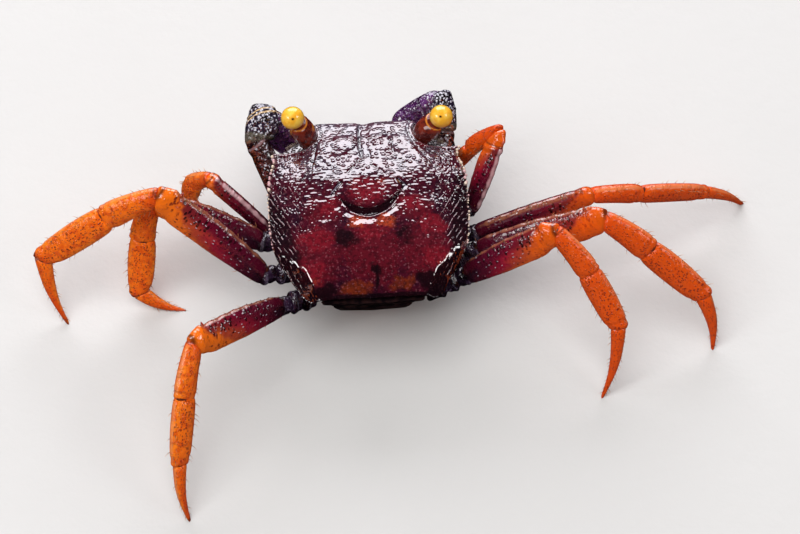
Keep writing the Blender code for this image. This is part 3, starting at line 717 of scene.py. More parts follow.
def claw_finish(name, dark, light, grain, share):
    """A claw segment: two mingled dark colours under clusters of pale grains painted as glints, thickest
    where it faces up, with pale bands and rims.
    """
    skin = Finish(name, 0.40, coat=1.0, coat_roughness=0.07, specular=0.12, coat_ior=2.7)
    mark, cloud, grains, fade = skin.mark, skin.cloud, skin.grains, skin.fade
    skin.colour = skin.mixed(dark, light, fade(cloud(1.1), 0.36, 0.60))
    glint_place = skin.sum(cloud(0.6), skin.times(mark("frost"), 0.25))
    # Painted glints: pale grains clustered where the surface faces up towards the lights.
    skin.lay(PALE_GRAINS_AND_GLINTS, fade(grains(grain), 0.46, 0.28), fade(glint_place, 0.70 - share, 0.75 - share), 0.95)
    skin.lay(ROSE, fade(grains(grain * 0.8), 0.30, 0.14), fade(cloud(0.6), 0.44, 0.54), 0.4)
    skin.lay(OLIVE, mark("olive"), 0.8)
    skin.lay(OCHRE, fade(mark("band"), 0.35, 0.75), 0.9)
    skin.lay(ROSE, fade(mark("pale_rim"), 0.35, 0.75), 0.35)
    skin.lay(NIGHT, mark("joint"), 0.8)
    skin.emboss(0.16, fade(grains(grain * 2.0), 0.55, 0.1))
    skin.emboss(0.05, fade(grains(grain), 0.5, 0.1))
    skin.emboss(0.012, cloud(0.12))
    return skin.done()


def finger_finish():
    skin = Finish("violet_claw_finger", 0.32, coat=0.6, coat_roughness=0.12)
    skin.along(skin.mark("along"), ((0.0, PLUM), (0.4, VIOLET), (0.75, ROSE), (1.0, CREAM)))
    skin.lay(LAVENDER, skin.fade(skin.grains(0.34), 0.32, 0.15), 0.5)
    skin.emboss(0.04, skin.fade(skin.grains(0.34), 0.5, 0.1))
    return skin.done()


def underside_finish():
    skin = Finish("pale_red_underside", 0.45, coat=0.25, coat_roughness=0.25)
    skin.colour = skin.mixed(BELLY_RED, BELLY_TAN, skin.fade(skin.cloud(1.6), 0.4, 0.65))
    skin.lay(WINE_RED, skin.fade(skin.grains(0.5), 0.3, 0.12), 0.6)
    # Painted shade in the grooves of the breast and mouthparts.
    skin.lay(PLUM, skin.fade(skin.mark("crease"), 0.3, 0.9))
    skin.emboss(0.03, skin.cloud(0.3))
    skin.emboss(0.03, skin.fade(skin.grains(0.32), 0.45, 0.1))
    return skin.done()


def flap_finish():
    """A tail flap that is pale below and dull black where it is folded up behind."""
    skin = Finish("dull_black_flap", 0.6, specular=0.12)
    black = skin.mixed(NIGHT, FLAP_BROWN, skin.fade(skin.cloud(0.7), 0.42, 0.62))
    skin.colour = skin.mixed(BELLY_ROSE, black, skin.mark("dim"))
    # Painted shade in the grooves between the flap's rings.
    skin.lay(NIGHT, skin.fade(skin.mark("crease"), 0.3, 0.9))
    skin.emboss(0.04, skin.cloud(0.3))
    skin.emboss(0.03, skin.fade(skin.grains(0.30), 0.45, 0.1))
    return skin.done()


def membrane_finish(name, dark, light):
    skin = Finish(name, 0.4, coat=0.3)
    skin.colour = skin.mixed(dark, light, skin.fade(skin.cloud(0.5), 0.4, 0.7))
    skin.emboss(0.04, skin.cloud(0.15))
    return skin.done()


def bristle_finish(name, colour, tip):
    hair = Finish(name, 0.4)
    hair.along(hair.mark("height"), ((0.0, colour), (1.0, tip)))
    hair.emboss(0.004, hair.cloud(0.06))
    return hair.done()


def bead_finish():
    bead = Finish("pale_grain", 0.25, coat=0.6)
    bead.colour = bead.mixed(CREAM, ROSE, bead.fade(bead.cloud(0.8), 0.4, 0.6))
    bead.emboss(0.006, bead.cloud(0.07))
    return bead.done()


def stalk_finish():
    skin = Finish("red_brown_eyestalk", 0.25, coat=0.8, coat_roughness=0.06, coat_ior=1.75)
    skin.colour = skin.mixed(STALK_DARK, STALK_RED, skin.fade(skin.cloud(0.7), 0.4, 0.62))
    skin.lay(STALK_LINE, skin.fade(skin.mark("edge"), 0.4, 0.9), 0.85)
    skin.emboss(0.02, skin.cloud(0.3))
    return skin.done()


def eye_finish():
    """Golden eye with a darker orange rim and one tiny dark point."""
    skin = Finish("golden_eye", 0.12, coat=1.0, coat_roughness=0.03, coat_ior=1.75)
    skin.colour = skin.mixed(EYE_ORANGE, EYE_GOLD, skin.fade(skin.cloud(0.7), 0.35, 0.65))
    skin.lay(EYE_RIM, skin.mark("low"), 0.9)
    skin.lay(EYE_POINT, skin.mark("point"))
    skin.emboss(0.006, skin.grains(0.09))
    return skin.done(coat_normal=skin.node("NewGeometry").outputs["Normal"])


# Measures of the frame's nodes

def corners(node):
    return np.array([corner.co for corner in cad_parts[node].data.vertices])


def meeting(first, second):
    """Middle and size of the gap between two neighbouring nodes."""
    a, b = corners(first), corners(second)
    far = np.linalg.norm(a[:, None] - b[None], axis=2)
    i, j = np.nonzero(far < far.min() + JOINT_NEAR * MM)
    both = np.concatenate((a[i], b[j]))
    return both.mean(axis=0), both


def root_of(node):
    """Middle of the end of a node that is nearest the shell's middle line."""
    spots = corners(node)
    inward = np.abs(spots[:, 0] - SHELL_MIDDLE)
    return spots[inward < inward.min() + ROOT_REACH * MM].mean(axis=0)


def tip_of(node, start):
    spots = corners(node)
    far = np.linalg.norm(spots - start, axis=1)
    return spots[far > far.max() - TIP_REACH * MM].mean(axis=0)


def measure(thing, start, end, outer):
    """Shares along a segment, and from -1 to 1 across it towards its outer crest."""
    points = points_of(thing)
    length = np.linalg.norm(end - start)
    way = (end - start) / length
    along = (points - start) @ way / length
    aside = points - start - np.outer((points - start) @ way, way)
    outer = outer - way * (outer @ way)
    crest = np.linalg.eigh(np.cov(aside.T))[1][:, -1]
    if crest @ outer < 0:
        crest = -crest
    reach = aside @ crest
    slices = np.clip((along * SLICES).astype(int), 0, SLICES)
    known = np.unique(slices)
    places = (known + 0.5) / SLICES
    low = np.interp(along, places, [reach[slices == k].min() for k in known])
    high = np.interp(along, places, [reach[slices == k].max() for k in known])
    across = (reach - 0.5 * (low + high)) / np.maximum(0.5 * (high - low), 1e-6)
    return along, across, crest, way


# The shell

def creases(across, ahead, lines, half_wide):
    """The deepest of several furrows at each place."""
    return np.max([crease(across, ahead, line, half_wide) for line in lines], axis=0)


def smile_share(across, ahead):
    """1 in the smile's furrow, and how far behind its middle line each place lies."""
    behind = SMILE_MIDDLE + SMILE_BEND * across ** 2 - ahead
    reach = np.abs(across) / np.where(across > 0, SMILE_REACH["left"], SMILE_REACH["right"])
    half = SMILE_HALF * np.clip(1.0 - reach ** 3, 0.0, 1.0) + 0.03
    return np.exp(-(behind / half) ** 4) * (1.0 - ease(reach, 0.92, 1.02)), behind


def shape_shell(thing):
    """Cut the furrows, raise the lobes and grains, and paint where each colour lies."""
    points, normals = points_of(thing), normals_of(thing)
    u, v = across_ahead(points)
    top = ease(normals[:, 2], 0.15, 0.6)
    smile, behind = smile_share(u, v)
    smile_lip = np.exp(-((behind - SMILE_HALF - 0.22) / 0.16) ** 2) * (1.0 - ease(np.abs(u), 2.2, 3.0))
    sway = 0.10 * rough(points, 0.6, 21.0)
    stomach = creases(u + sway, v, STOMACH_LINES, STOMACH_HALF)
    furrows = creases(u, v + 1.5 * sway, FURROWS, FURROW_HALF)
    front_lines = np.max([cleft(u + sway, v, line, FRONT_HALF) for line in FRONT_FURROWS], axis=0)
    groove = GROOVE_DEEPER * cleft(u + 0.4 * sway, v, FRONT_GROOVE, GROOVE_HALF)
    front_lines = np.maximum(front_lines, groove)
    brows = creases(u + sway, v, BROWS, BROW_HALF)
    rear_line = crease(u + 2.0 * sway, v, REAR_LINE, REAR_LINE_HALF)
    move = CROWN_UP * np.exp(-((v - CROWN_AT) / CROWN_HALF) ** 2)
    shoulder = ease(v, 0.3, 4.6) * (1.0 - ease(v, 5.0, 7.0)) * ease(np.abs(u), 3.3, 5.2)
    move += SHOULDER_UP * shoulder + SMILE_LIP_UP * smile_lip
    move -= SMILE_DEEP * smile + STOMACH_DEEP * stomach + FURROW_DEEP * furrows
    move -= FRONT_DEEP * front_lines + BROW_DEEP * brows + REAR_LINE_DEEP * rear_line
    front = ease(v + 0.25 * rough(points, 1.5, 2.0), 2.6, 4.0) * top
    move += LUMPS_UP * rough(points, 1.6, 3.0) * (0.5 + 0.5 * top) * (1.0 - 0.5 * front)
    move += SMALL_LUMPS_UP * rough(points, 0.5, 7.0) * (0.4 + 0.3 * front)
    socket = socket_share(u, v)
    rim = np.exp(-((socket - 1.07) / 0.04) ** 2) * top * (v > 5.6)
    behind_rim = np.exp(-((socket - 1.17) / 0.035) ** 2) * top * (v > 5.2)
    move += ORBIT_RIM_UP * (rim - behind_rim)
    brow = ease(v, 4.4, 6.4) * np.exp(-((np.abs(u) - 5.3) / 0.9) ** 2) * ease(socket, 0.98, 1.08)
    points[:, 2] -= BROW_DOWN * MM * brow * top
    points += normals * (move * top * MM)[:, None]
    move_points(thing, points)
    paint_shell(thing, points, top)
    # How much shade is painted into each furrow, the smile and the groove behind the orbit rims.
    furrow_shade = 1.5 * smile + 0.6 * rear_line + 0.35 * furrows + 0.6 * front_lines + 0.6 * brows
    furrow_shade += 0.9 * stomach + 0.6 * behind_rim
    # Thin lines in the stomach furrows where a glint is painted.
    stomach_glints = creases(u, v, [[(x * 1.04, y) for x, y in line] for line in STOMACH_LINES], STOMACH_GLINT_HALF)
    dashes = ease(v, -1.5, 2.0) * ease(5.2 - v, 0.0, 2.0) * (1.0 - 0.45 * ease(np.abs(u), 3.0, 4.6))
    dashes *= 1.0 - 0.35 * patch(u, v, (0.0, 1.2), (2.8, 2.2))
    paint(
        thing,
        crease=np.clip(furrow_shade, 0, 1) * top,
        wisp=stomach_glints * top,
        front=front,
        wall=1.0 - top,
        dashes=dashes * top,
        rear=ease(-v, 0.0, 3.0),
        # The strip along the front edge that gets painted sheen.
        edge=ease(v, 8.6, 9.4) * top,
        blush=patch(u, v, (-6.3, 6.9), (1.9, 0.5)) * (v > 5.0),
        # Where the front third gets its painted sheen.
        bloom=front * ease(8.2 - np.abs(u), 0.0, 1.0),
        socket=ease(0.99 - socket, -0.02, 0.04) * (v > 5.0),
        rim=rim,
        speck=np.exp(-((socket - 0.93) / 0.07) ** 2) * (v > 5.0) * (v < 8.0),
    )


def paint_shell(thing, points, top):
    """Mark where the back is red, orange and black; the edges wander as on the animal."""
    across, ahead = across_ahead(points)
    u, v = across + 0.45 * rough(points, 0.9, 11.0), ahead + 0.45 * rough(points, 0.9, 17.0)
    warm, red, ember, fringe, night = [strongest(u, v, patches) for patches in BACK_PATCHES.values()]
    half = np.where(u > 0, np.interp(v, *zip(*LEFT_RED)), np.interp(v, *zip(*RIGHT_RED)))
    side = ease(np.abs(u) - half, -0.7, 0.8)
    flank = ease(np.abs(across) - np.interp(ahead, BACK_PLACES, BACK_HALVES), -0.2, 0.25)
    rear_face = ease(-ahead, 7.95, 8.2)
    behind_front = ease(5.0 - ahead, 0.0, 1.5)
    paint(
        thing,
        warm=warm * top,
        red=red * top,
        ember=ember * top,
        fringe=fringe * top,
        night=np.max([night, 0.9 * side, 1.6 * flank, 1.6 * rear_face, 1.0 - top], axis=0),
        left_striae=ease(across, 5.6, 7.0) * behind_front,
        right_striae=ease(-across, 5.9, 7.2) * behind_front,
    )


def socket_share(across, ahead):
    """Below 1 inside the hollow of either eye."""
    return np.hypot((np.abs(across) - SOCKET_AT[0]) / SOCKET_SIZE[0], (ahead - SOCKET_AT[1]) / SOCKET_SIZE[1])


def ridge_below_eyes(thing):
    """Draw the wall under each orbit forward into the lower edge of the eye's hollow."""
    points = points_of(thing)
    u, v = across_ahead(points)
    wide = np.abs(u)
    share = np.exp(-((points[:, 2] / MM - LOWER_LID_UP) / 0.6) ** 2) * ease(v, 5.6, 6.8)
    share *= ease(wide, 4.4, 5.4) * ease(8.7 - wide, 0.0, 0.9)
    points[:, 1] -= LOWER_LID_OUT * MM * share
    move_points(thing, points)
    paint(thing, lid=share)


def level_front(thing):
    """Take the coarse lobes off the front third, where only fine furrows belong."""
    points = points_of(thing)
    u, v = across_ahead(points)
    up = points[:, 2] / MM
    share = ease(v, 3.6, 4.6) * ease(9.2 - v, 0.0, 1.2) * ease(8.8 - np.abs(u), 0.0, 1.0)
    share *= ease(socket_share(u, v), 1.10, 1.35) * ease(up, 9.6, 10.2)
    wall = ease(v, 7.6, 8.4) * ease(9.3 - up, 0.0, 0.4) * ease(4.8 - np.abs(u), 0.0, 0.8)
    share = np.maximum(share, 0.5 * wall)
    group = thing.vertex_groups.new(name="levelled")
    for at in np.nonzero(share > 0.02)[0]:
        group.add([int(at)], float(share[at]), "REPLACE")
    apply_modifier(thing, "SMOOTH", factor=0.5, iterations=LEVELLING_ROUNDS, vertex_group="levelled")
    points = points_of(thing)
    u, v = across_ahead(points)
    lift = ease(v, 8.2, 10.0) * ease(points[:, 2] / MM, 9.0, 9.7) * ease(4.9 - np.abs(u), 0.0, 0.6)
    points[:, 2] += EDGE_UP * MM * lift
    move_points(thing, points)


def shell():
    thing = skin_over("carapace", SHELL_FACE, rounds=0, smoothing=5)
    level_front(thing)
    ridge_below_eyes(thing)
    shape_shell(thing)
    shell_beads(thing)
    orbit_fringe(thing)
    dress(thing, shell_finish(), "shell", "carapace")


def make_bead():
    """A low round grain of one millimetre, its foot at the origin."""
    bpy.ops.mesh.primitive_uv_sphere_add(segments=8, ring_count=5, radius=0.5)
    bead = bpy.context.object
    move_points(bead, points_of(bead) * (1.0, 1.0, 0.8) + (0.0, 0.0, 0.2))
    return bead


def shell_beads(thing):
    """White grains along both side edges of the shell."""
    points, normals = points_of(thing), normals_of(thing)
    u, v = across_ahead(points)
    bead, grain, random = make_bead(), bead_finish(), Random(3)
    for side, sign in SIDES.items():
        places = []
        ahead = BEAD_ROW[0]
        while ahead < BEAD_ROW[1]:
            level = (points[:, 2] / MM > BEADS_ABOVE) & (normals[:, 2] > 0.1)
            near = np.nonzero(level & (np.abs(v - ahead) < 0.09))[0]
            at = near[np.argmax(sign * u[near])]
            size = random.uniform(*BEAD_WIDE) * (BEAD_LARGER if ahead > BEADS_LARGER_FROM else BEAD_SMALLER)
            places.append((points[at], normals[at], np.array((0.0, -1.0, 0.0)), size, size))
            ahead += random.uniform(*BEAD_APART)
        dress(plant(f"shell_beads_{side}", bead, places), grain, "shell")
    bpy.data.objects.remove(bead)


def orbit_fringe(thing):
    """Short pale bristles along the lower edge of each orbit."""
    points, normals = points_of(thing), normals_of(thing)
    u, v = across_ahead(points)
    lid = read_mark(thing, "lid")
    hair = bristle_finish("pale_orbit_bristle", BONE, CREAM)
    pattern, random = bent_cone(*BRISTLE_FORM), Random(5)
    for column, (side, sign) in enumerate(SIDES.items()):
        rim = np.nonzero((lid > 0.5) & (sign * u > 0) & (normals[:, 2] > 0.35))[0]
        chosen = random.sample(list(rim), ORBIT_BRISTLES)
        places, on_map = [], []
        for at in chosen:
            up = normals[at] + np.array((0.0, 0.3, 0.8))
            lean = np.array((sign * random.uniform(-0.6, 0.6), 1.0, 0.0))
            wide, tall = random.uniform(*ORBIT_BRISTLE_WIDE), random.uniform(*ORBIT_BRISTLE_TALL)
            places.append((points[at], up, lean, wide, tall))
            map_across = BAKE_EDGE + 0.2 * column + 0.02 * (abs(u[at]) - 4.0)
            on_map.append((map_across, BAKE_EDGE + 0.1 * (v[at] - 5.0)))
        dress(plant(f"orbit_fringe_{side}", pattern, places, on_map), hair, "shell")
    bpy.data.objects.remove(pattern)


def underside():
    """The breast plate, the folded tail flap with its rings, and the grooved mouthparts."""
    finish, flap = underside_finish(), flap_finish()
    for node in ("breast", "tail_flap", "mouthpart_left", "mouthpart_right"):
        thing = skin_over(node, UNDERSIDE_FACE, rounds=0, smoothing=4)
        points, normals = points_of(thing), normals_of(thing)
        u, v = across_ahead(points)
        up = points[:, 2] / MM
        dim = 0.0
        if node == "breast":
            from_middle = np.abs(((v + 0.85) / BREAST_RING) % 1.0 - 0.5) * BREAST_RING
            lines = np.exp(-((0.5 * BREAST_RING - from_middle) / 0.12) ** 2) * (np.abs(u) > 2.4)
            deep = BREAST_LINE_DEEP
        elif node == "tail_flap":
            points[:, 1] -= FLAP_BACK * MM * ease(up, 5.0, 7.0)
            dim = np.maximum(ease(up, 3.0, 4.4), ease(-v, 5.4, 6.2))
            from_line = np.abs(up / FLAP_RING % 1.0 - 0.5) * FLAP_RING
            lines = np.exp(-(from_line / 0.08) ** 2) * ease(up, 2.2, 3.0)
            deep = FLAP_LINE_DEEP
        else:
            height = (up - up.min()) / np.ptp(up)
            aside = np.abs(u - 0.5 * (u.min() + u.max())) / np.ptp(u)
            level = np.exp(-((height - 0.52 - 0.3 * aside) / 0.035) ** 2)
            upright = np.exp(-((aside - 0.16) / 0.05) ** 2) * ease(0.5 - height, 0.0, 0.1)
            lines = np.maximum(level, upright)
            deep = MOUTH_LINE_DEEP
        move_points(thing, points - normals * (deep * MM * lines)[:, None])
        paint(thing, crease=lines, dim=dim)
        dress(thing, flap if node == "tail_flap" else finish, "underside", node)


def eyes():
    """The eyes on their stalks, and the feelers."""
    look = camera_way()
    leftward = look.cross(Vector((0.0, 0.0, 1.0))).normalized()
    upright = leftward.cross(look)
    ball_finish, rod_finish = eye_finish(), stalk_finish()
    for side in SIDES:
        low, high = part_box("eye_" + side)
        middle, radius = (low + high) / 2, 0.5 * max(high - low)
        bpy.ops.mesh.primitive_uv_sphere_add(segments=64, ring_count=40, radius=radius, location=middle)
        ball = bpy.context.object
        ball.name = "eyeball_" + side
        bpy.ops.object.transform_apply(location=True, rotation=True, scale=True)
        smooth_faces(ball)
        points = points_of(ball)
        out = (points - np.array(middle)) / radius
        shoulder = EYE_SLIMMER * np.exp(-((out[:, 2] + 0.55) / 0.25) ** 2)
        move_points(ball, points - (out - out * (out[:, 2:] ** 2)) * (radius * shoulder)[:, None])
        aim = (look + PUPIL[side][0] * leftward + PUPIL[side][1] * upright).normalized()
        from_point = np.linalg.norm(out - np.array(aim), axis=1)
        paint(ball, low=ease(-out[:, 2], -0.35, 0.6), point=1.0 - ease(from_point, *PUPIL_EDGE))
        dress(ball, ball_finish, "eye", "eye_" + side)
        rod = skin_over("eyestalk_" + side, FINE_FACE, rounds=1, smoothing=4)
        points = points_of(rod) + normals_of(rod) * STALK_FULLER * MM
        far = np.linalg.norm(points - np.array(middle), axis=1) / radius
        low_share = np.clip((middle.z - points[:, 2]) / np.ptp(points[:, 2]), 0.0, 1.0)
        points[:, 0] -= SIDES[side] * MM * (STALK_IN[0] + STALK_IN[1] * low_share)
        move_points(rod, points)
        ring = np.exp(-((far - 1.12) / 0.1) ** 2)
        line = ease(np.abs(normals_of(rod)[:, 0]), 0.72, 0.92) * ease(2.6 - far, 0.0, 0.8)
        paint(rod, edge=np.maximum(ring, 0.9 * line))
        dress(rod, rod_finish, "stalk", "eyestalk_" + side)
        feeler = skin_over("feeler_" + side, FINE_FACE, rounds=1, smoothing=3)
        paint(feeler, edge=0.0)
        dress(feeler, rod_finish, "stalk", "feeler_" + side)


# Legs and claws

def limb_skin(node, start, end, outer, face, fuller=FULLER):
    """Skin of one segment, drawn out a little at both ends so that it meets its neighbours."""
    thing = skin_over(node, face)
    along, across, crest, way = measure(thing, start, end, outer)
    points, normals = points_of(thing), normals_of(thing)
    points += np.outer((along - 0.5) * LIMB_LONGER * MM, way)
    collar = np.exp(-((along - 0.95) / 0.035) ** 2) - 0.7 * np.exp(-((along - 0.87) / 0.03) ** 2)
    out = fuller + COLLAR_UP * collar
    if node.endswith("dactylus"):
        out = fuller * (1.0 - 1.6 * ease(along, 0.3, 0.95))
    points += normals * (out * MM)[:, None]
    points[:, 2] = np.maximum(points[:, 2], 0.0)
    move_points(thing, points)
    paint(
        thing,
        along=along,
        run=along * np.linalg.norm(end - start) / MM,
        crest=across,
        side=(points - start) @ crest / MM,
        joint=np.exp(-((np.abs(along - 0.5) - 0.505) / 0.012) ** 2),
        ruddy=float(node.startswith("right")),
    )
    if node.endswith("hip"):
        knobs(thing, along)
    return thing


def knobs(thing, along):
    """Turn a hip into three short rings with raised rims."""
    rings = np.max([np.exp(-((along - at) / 0.06) ** 2) for at in HIP_RINGS], axis=0)
    furrows = np.sum([np.exp(-((along - at) / 0.05) ** 2) for at in HIP_FURROWS], axis=0)
    points = points_of(thing)
    move = HIP_RING_UP * rings - HIP_FURROW_DEEP * furrows + HIP_LUMPS * rough(points, 0.7, 5.0)
    move_points(thing, points + normals_of(thing) * (move * MM)[:, None])
    paint(thing, rings=rings)


def crest_spots(thing, shares):
    """Places on the crest of a segment, and the way out from it."""
    points, normals = points_of(thing), normals_of(thing)
    along, across = read_mark(thing, "along"), read_mark(thing, "crest")
    found = []
    for share in shares:
        score = np.abs(along - share) * 25.0 - across
        best = np.argsort(score)[:4]
        found.append((points[best].mean(axis=0), normals[best].mean(axis=0)))
    return found


def read_mark(thing, name):
    values = np.empty(len(thing.data.vertices), np.float32)
    thing.data.attributes[name].data.foreach_get("value", values)
    return values


def bent_cone(sides, tip, cuts, bend):
    """A cone one millimetre tall and wide, bent to one side, its foot at the origin, pointing up."""
    bpy.ops.mesh.primitive_cone_add(vertices=sides, radius1=0.5, radius2=tip, depth=1.0, location=(0, 0, 0.5))
    cone = bpy.context.object
    alone(cone)
    bpy.ops.object.transform_apply(location=True, rotation=True, scale=True)
    level = {"plane_no": (0.0, 0.0, 1.0)}
    edit_whole(cone, *[(bpy.ops.mesh.bisect, {"plane_co": (0.0, 0.0, up), **level}) for up in cuts])
    for corner in cone.data.vertices:
        corner.co.x += bend * corner.co.z ** 2
    return cone


def plant(name, pattern, places, spots_on_map=None):
    """Join copies of one small form, each given by its foot, the way it points, its lean, width and height.

    With spots_on_map, each copy is also a small patch of the OFBake map, at its root's place there.
    """
    form = points_of(pattern)
    faces = [tuple(face.vertices) for face in pattern.data.polygons]
    points, planted, shares = [], [], []
    top = form[:, 2].max()
    for foot, up, lean, wide, tall in places:
        up = up / np.linalg.norm(up)
        lean = lean - up * (lean @ up)
        lean = lean / max(np.linalg.norm(lean), 1e-9)
        aside = np.cross(up, lean)
        start = len(points) * len(form)
        planted += [tuple(start + corner for corner in face) for face in faces]
        points.append(foot + MM * (np.outer(form[:, 0] * wide, lean) + np.outer(form[:, 1] * wide, aside)
                                   + np.outer(form[:, 2] * tall, up)))
        shares.append(form[:, 2] / top)
    points = np.concatenate(points)
    points[:, 2] = np.maximum(points[:, 2], 0.0)
    mesh = bpy.data.meshes.new(name)
    mesh.from_pydata(points.tolist(), [], planted)
    thing = bpy.data.objects.new(name, mesh)
    bpy.context.scene.collection.objects.link(thing)
    paint(thing, height=np.concatenate(shares))
    if spots_on_map:
        bake = mesh.uv_layers.new(name="OFBake")
        corner_of = np.empty(len(mesh.loops), np.int64)
        mesh.loops.foreach_get("vertex_index", corner_of)
        which, local = corner_of // len(form), corner_of % len(form)
        inside = np.stack((form[local, 0] + 0.5, form[local, 2] / top), axis=1) * BAKE_PATCH
        bake.data.foreach_set("uv", (np.array(spots_on_map)[which] + inside).ravel())
    smooth_faces(thing)
    return thing


def bristle_rows(thing, way, count, tall, column, random):
    """Bristles along both edges of a leg segment, and their roots' places on the bake map."""
    points, normals = points_of(thing), normals_of(thing)
    along, crest = read_mark(thing, "along"), read_mark(thing, "crest")
    places, on_map = [], []
    for edge in (1.0, -1.0):
        for i in range(count):
            stray = random.uniform(-BRISTLE_STRAY, BRISTLE_STRAY)
            share = BRISTLES_FROM + BRISTLES_SPAN * (i + stray) / count
            height = edge * random.uniform(0.78, 1.0)
            at = np.argmin(np.abs(along - share) * 12.0 + np.abs(crest - height))
            out = normals[at] + 0.45 * way
            width, length = random.uniform(*BRISTLE_WIDE), tall * random.uniform(*BRISTLE_TALL)
            places.append((points[at] - normals[at] * BRISTLE_ROOT * MM, out, way, width, length))
            on_map.append((column + 0.01 * (edge + 1.0) + 0.006 * random.random(), BAKE_EDGE + 0.95 * share))
    return places, on_map


def crest_teeth(thigh, finish):
    """Small sharp teeth along the crest of a merus, and a larger one before the knee."""
    shares = [TEETH_FROM + TEETH_SPAN * i / (TEETH - 1) for i in range(TEETH)]
    spots = crest_spots(thigh, shares + [KNEE_TOOTH_AT])
    end = spots[-1][0]
    places = []
    for i, (foot, out) in enumerate(spots):
        wide, tall = TOOTH_SIZE if i < TEETH else KNEE_TOOTH_SIZE
        places.append((foot - out * 0.06 * MM, out, end - spots[0][0], wide, tall))
    pattern = bent_cone(*TOOTH_FORM)
    thing = plant(thigh.name.replace("_skin", "_teeth"), pattern, places)
    places_along = np.repeat(shares + [KNEE_TOOTH_AT], len(pattern.data.vertices))
    paint(thing, along=places_along, crest=0.88, run=0.0, side=0.0, joint=0.0, ruddy=0.0)
    bpy.data.objects.remove(pattern)
    dress(thing, finish, "dark_leg")


def limb_joints(nodes):
    """Start, inner joints and tip of a row of nodes."""
    spots = [root_of(nodes[0])]
    for first, second in zip(nodes, nodes[1:]):
        spots.append(meeting(first, second)[0])
    spots.append(tip_of(nodes[-1], spots[-1]))
    return spots


def membrane(first, second, finish, slot):
    """A soft dark skin in the gap between two segments."""
    middle, spots = meeting(first, second)
    values, axes = np.linalg.eigh(np.cov((spots - middle).T))
    sizes = np.sqrt(np.maximum(values, 0)) * MEMBRANE_FULL
    sizes[0] = MEMBRANE_THICK * MM
    bpy.ops.mesh.primitive_uv_sphere_add(segments=24, ring_count=14, radius=1.0)
    thing = bpy.context.object
    thing.name = first + "_membrane"
    points = points_of(thing)
    points = points * (1.0 + 0.04 * np.sin(12.0 * np.arctan2(points[:, 1], points[:, 0])))[:, None]
    points = (points * sizes[::-1]) @ axes[:, ::-1].T + middle
    move_points(thing, points)
    edit_whole(thing, (bpy.ops.mesh.normals_make_consistent, {"inside": False}))
    smooth_faces(thing)
    dress(thing, finish, slot)


def legs():
    thigh = thigh_finish("crimson_and_orange_thigh", 0.70, PEACH, 0.25)
    slim_thigh = thigh_finish("dark_front_thigh", 0.80, ROSE, 0.9)
    finishes = {
        "hip": hip_finish(),
        "merus": thigh,
        "carpus": shin_finish("orange_knee", ((0.0, DEEP_ORANGE), (0.35, CORAL), (1.0, CORAL)), 0.65, 0.6),
        "propodus": shin_finish("orange_shin", ((0.0, CORAL), (0.8, CORAL), (1.0, DEEP_ORANGE)), 0.9, 0.9),
        "dactylus": shin_finish("orange_foot", ((0.0, CORAL), (0.7, DEEP_ORANGE), (1.0, BARK)), 0.6, 0.4),
    }
    slots = {"hip": "claw", "merus": "dark_leg"}
    dark = membrane_finish("dark_joint_skin", NIGHT, BARK)
    warm = membrane_finish("brown_joint_skin", BARK, DEEP_ORANGE)
    hair = bristle_finish("brown_bristle", BARK, PEACH)
    pattern, random = bent_cone(*BRISTLE_FORM), Random(7)
    for side in SIDES:
        for row in (1, 2, 3, 4):
            nodes = [f"{side}_leg_{row}_{part}" for part in LEG_PARTS]
            spots = limb_joints(nodes)
            chord = 0.5 * (spots[0] + spots[-1])
            for node, part, start, end in zip(nodes, LEG_PARTS, spots, spots[1:]):
                outer = 0.5 * (start + end) - chord
                face = FINE_FACE if part == "dactylus" else LEG_FACE
                thing = limb_skin(node, start, end, outer, face)
                finish = slim_thigh if part == "merus" and row == 1 else finishes[part]
                dress(thing, finish, slots.get(part, "orange_leg"), node)
                if part == "merus" and row > 1:
                    crest_teeth(thing, thigh)
                if part in BRISTLES:
                    way = (end - start) / np.linalg.norm(end - start)
                    count, tall = BRISTLES[part]
                    column = LEG_PARTS.index(part) + 5 * (row - 1) + (0 if side == "left" else 20)
                    rows = bristle_rows(thing, way, count, tall, BAKE_EDGE + BAKE_COLUMN * column, random)
                    dress(plant(f"{node}_bristles", pattern, *rows), hair, "orange_leg")
            for first, second in zip(nodes, nodes[1:]):
                membrane(first, second, dark if first.endswith("hip") else warm, "claw")
    bpy.data.objects.remove(pattern)


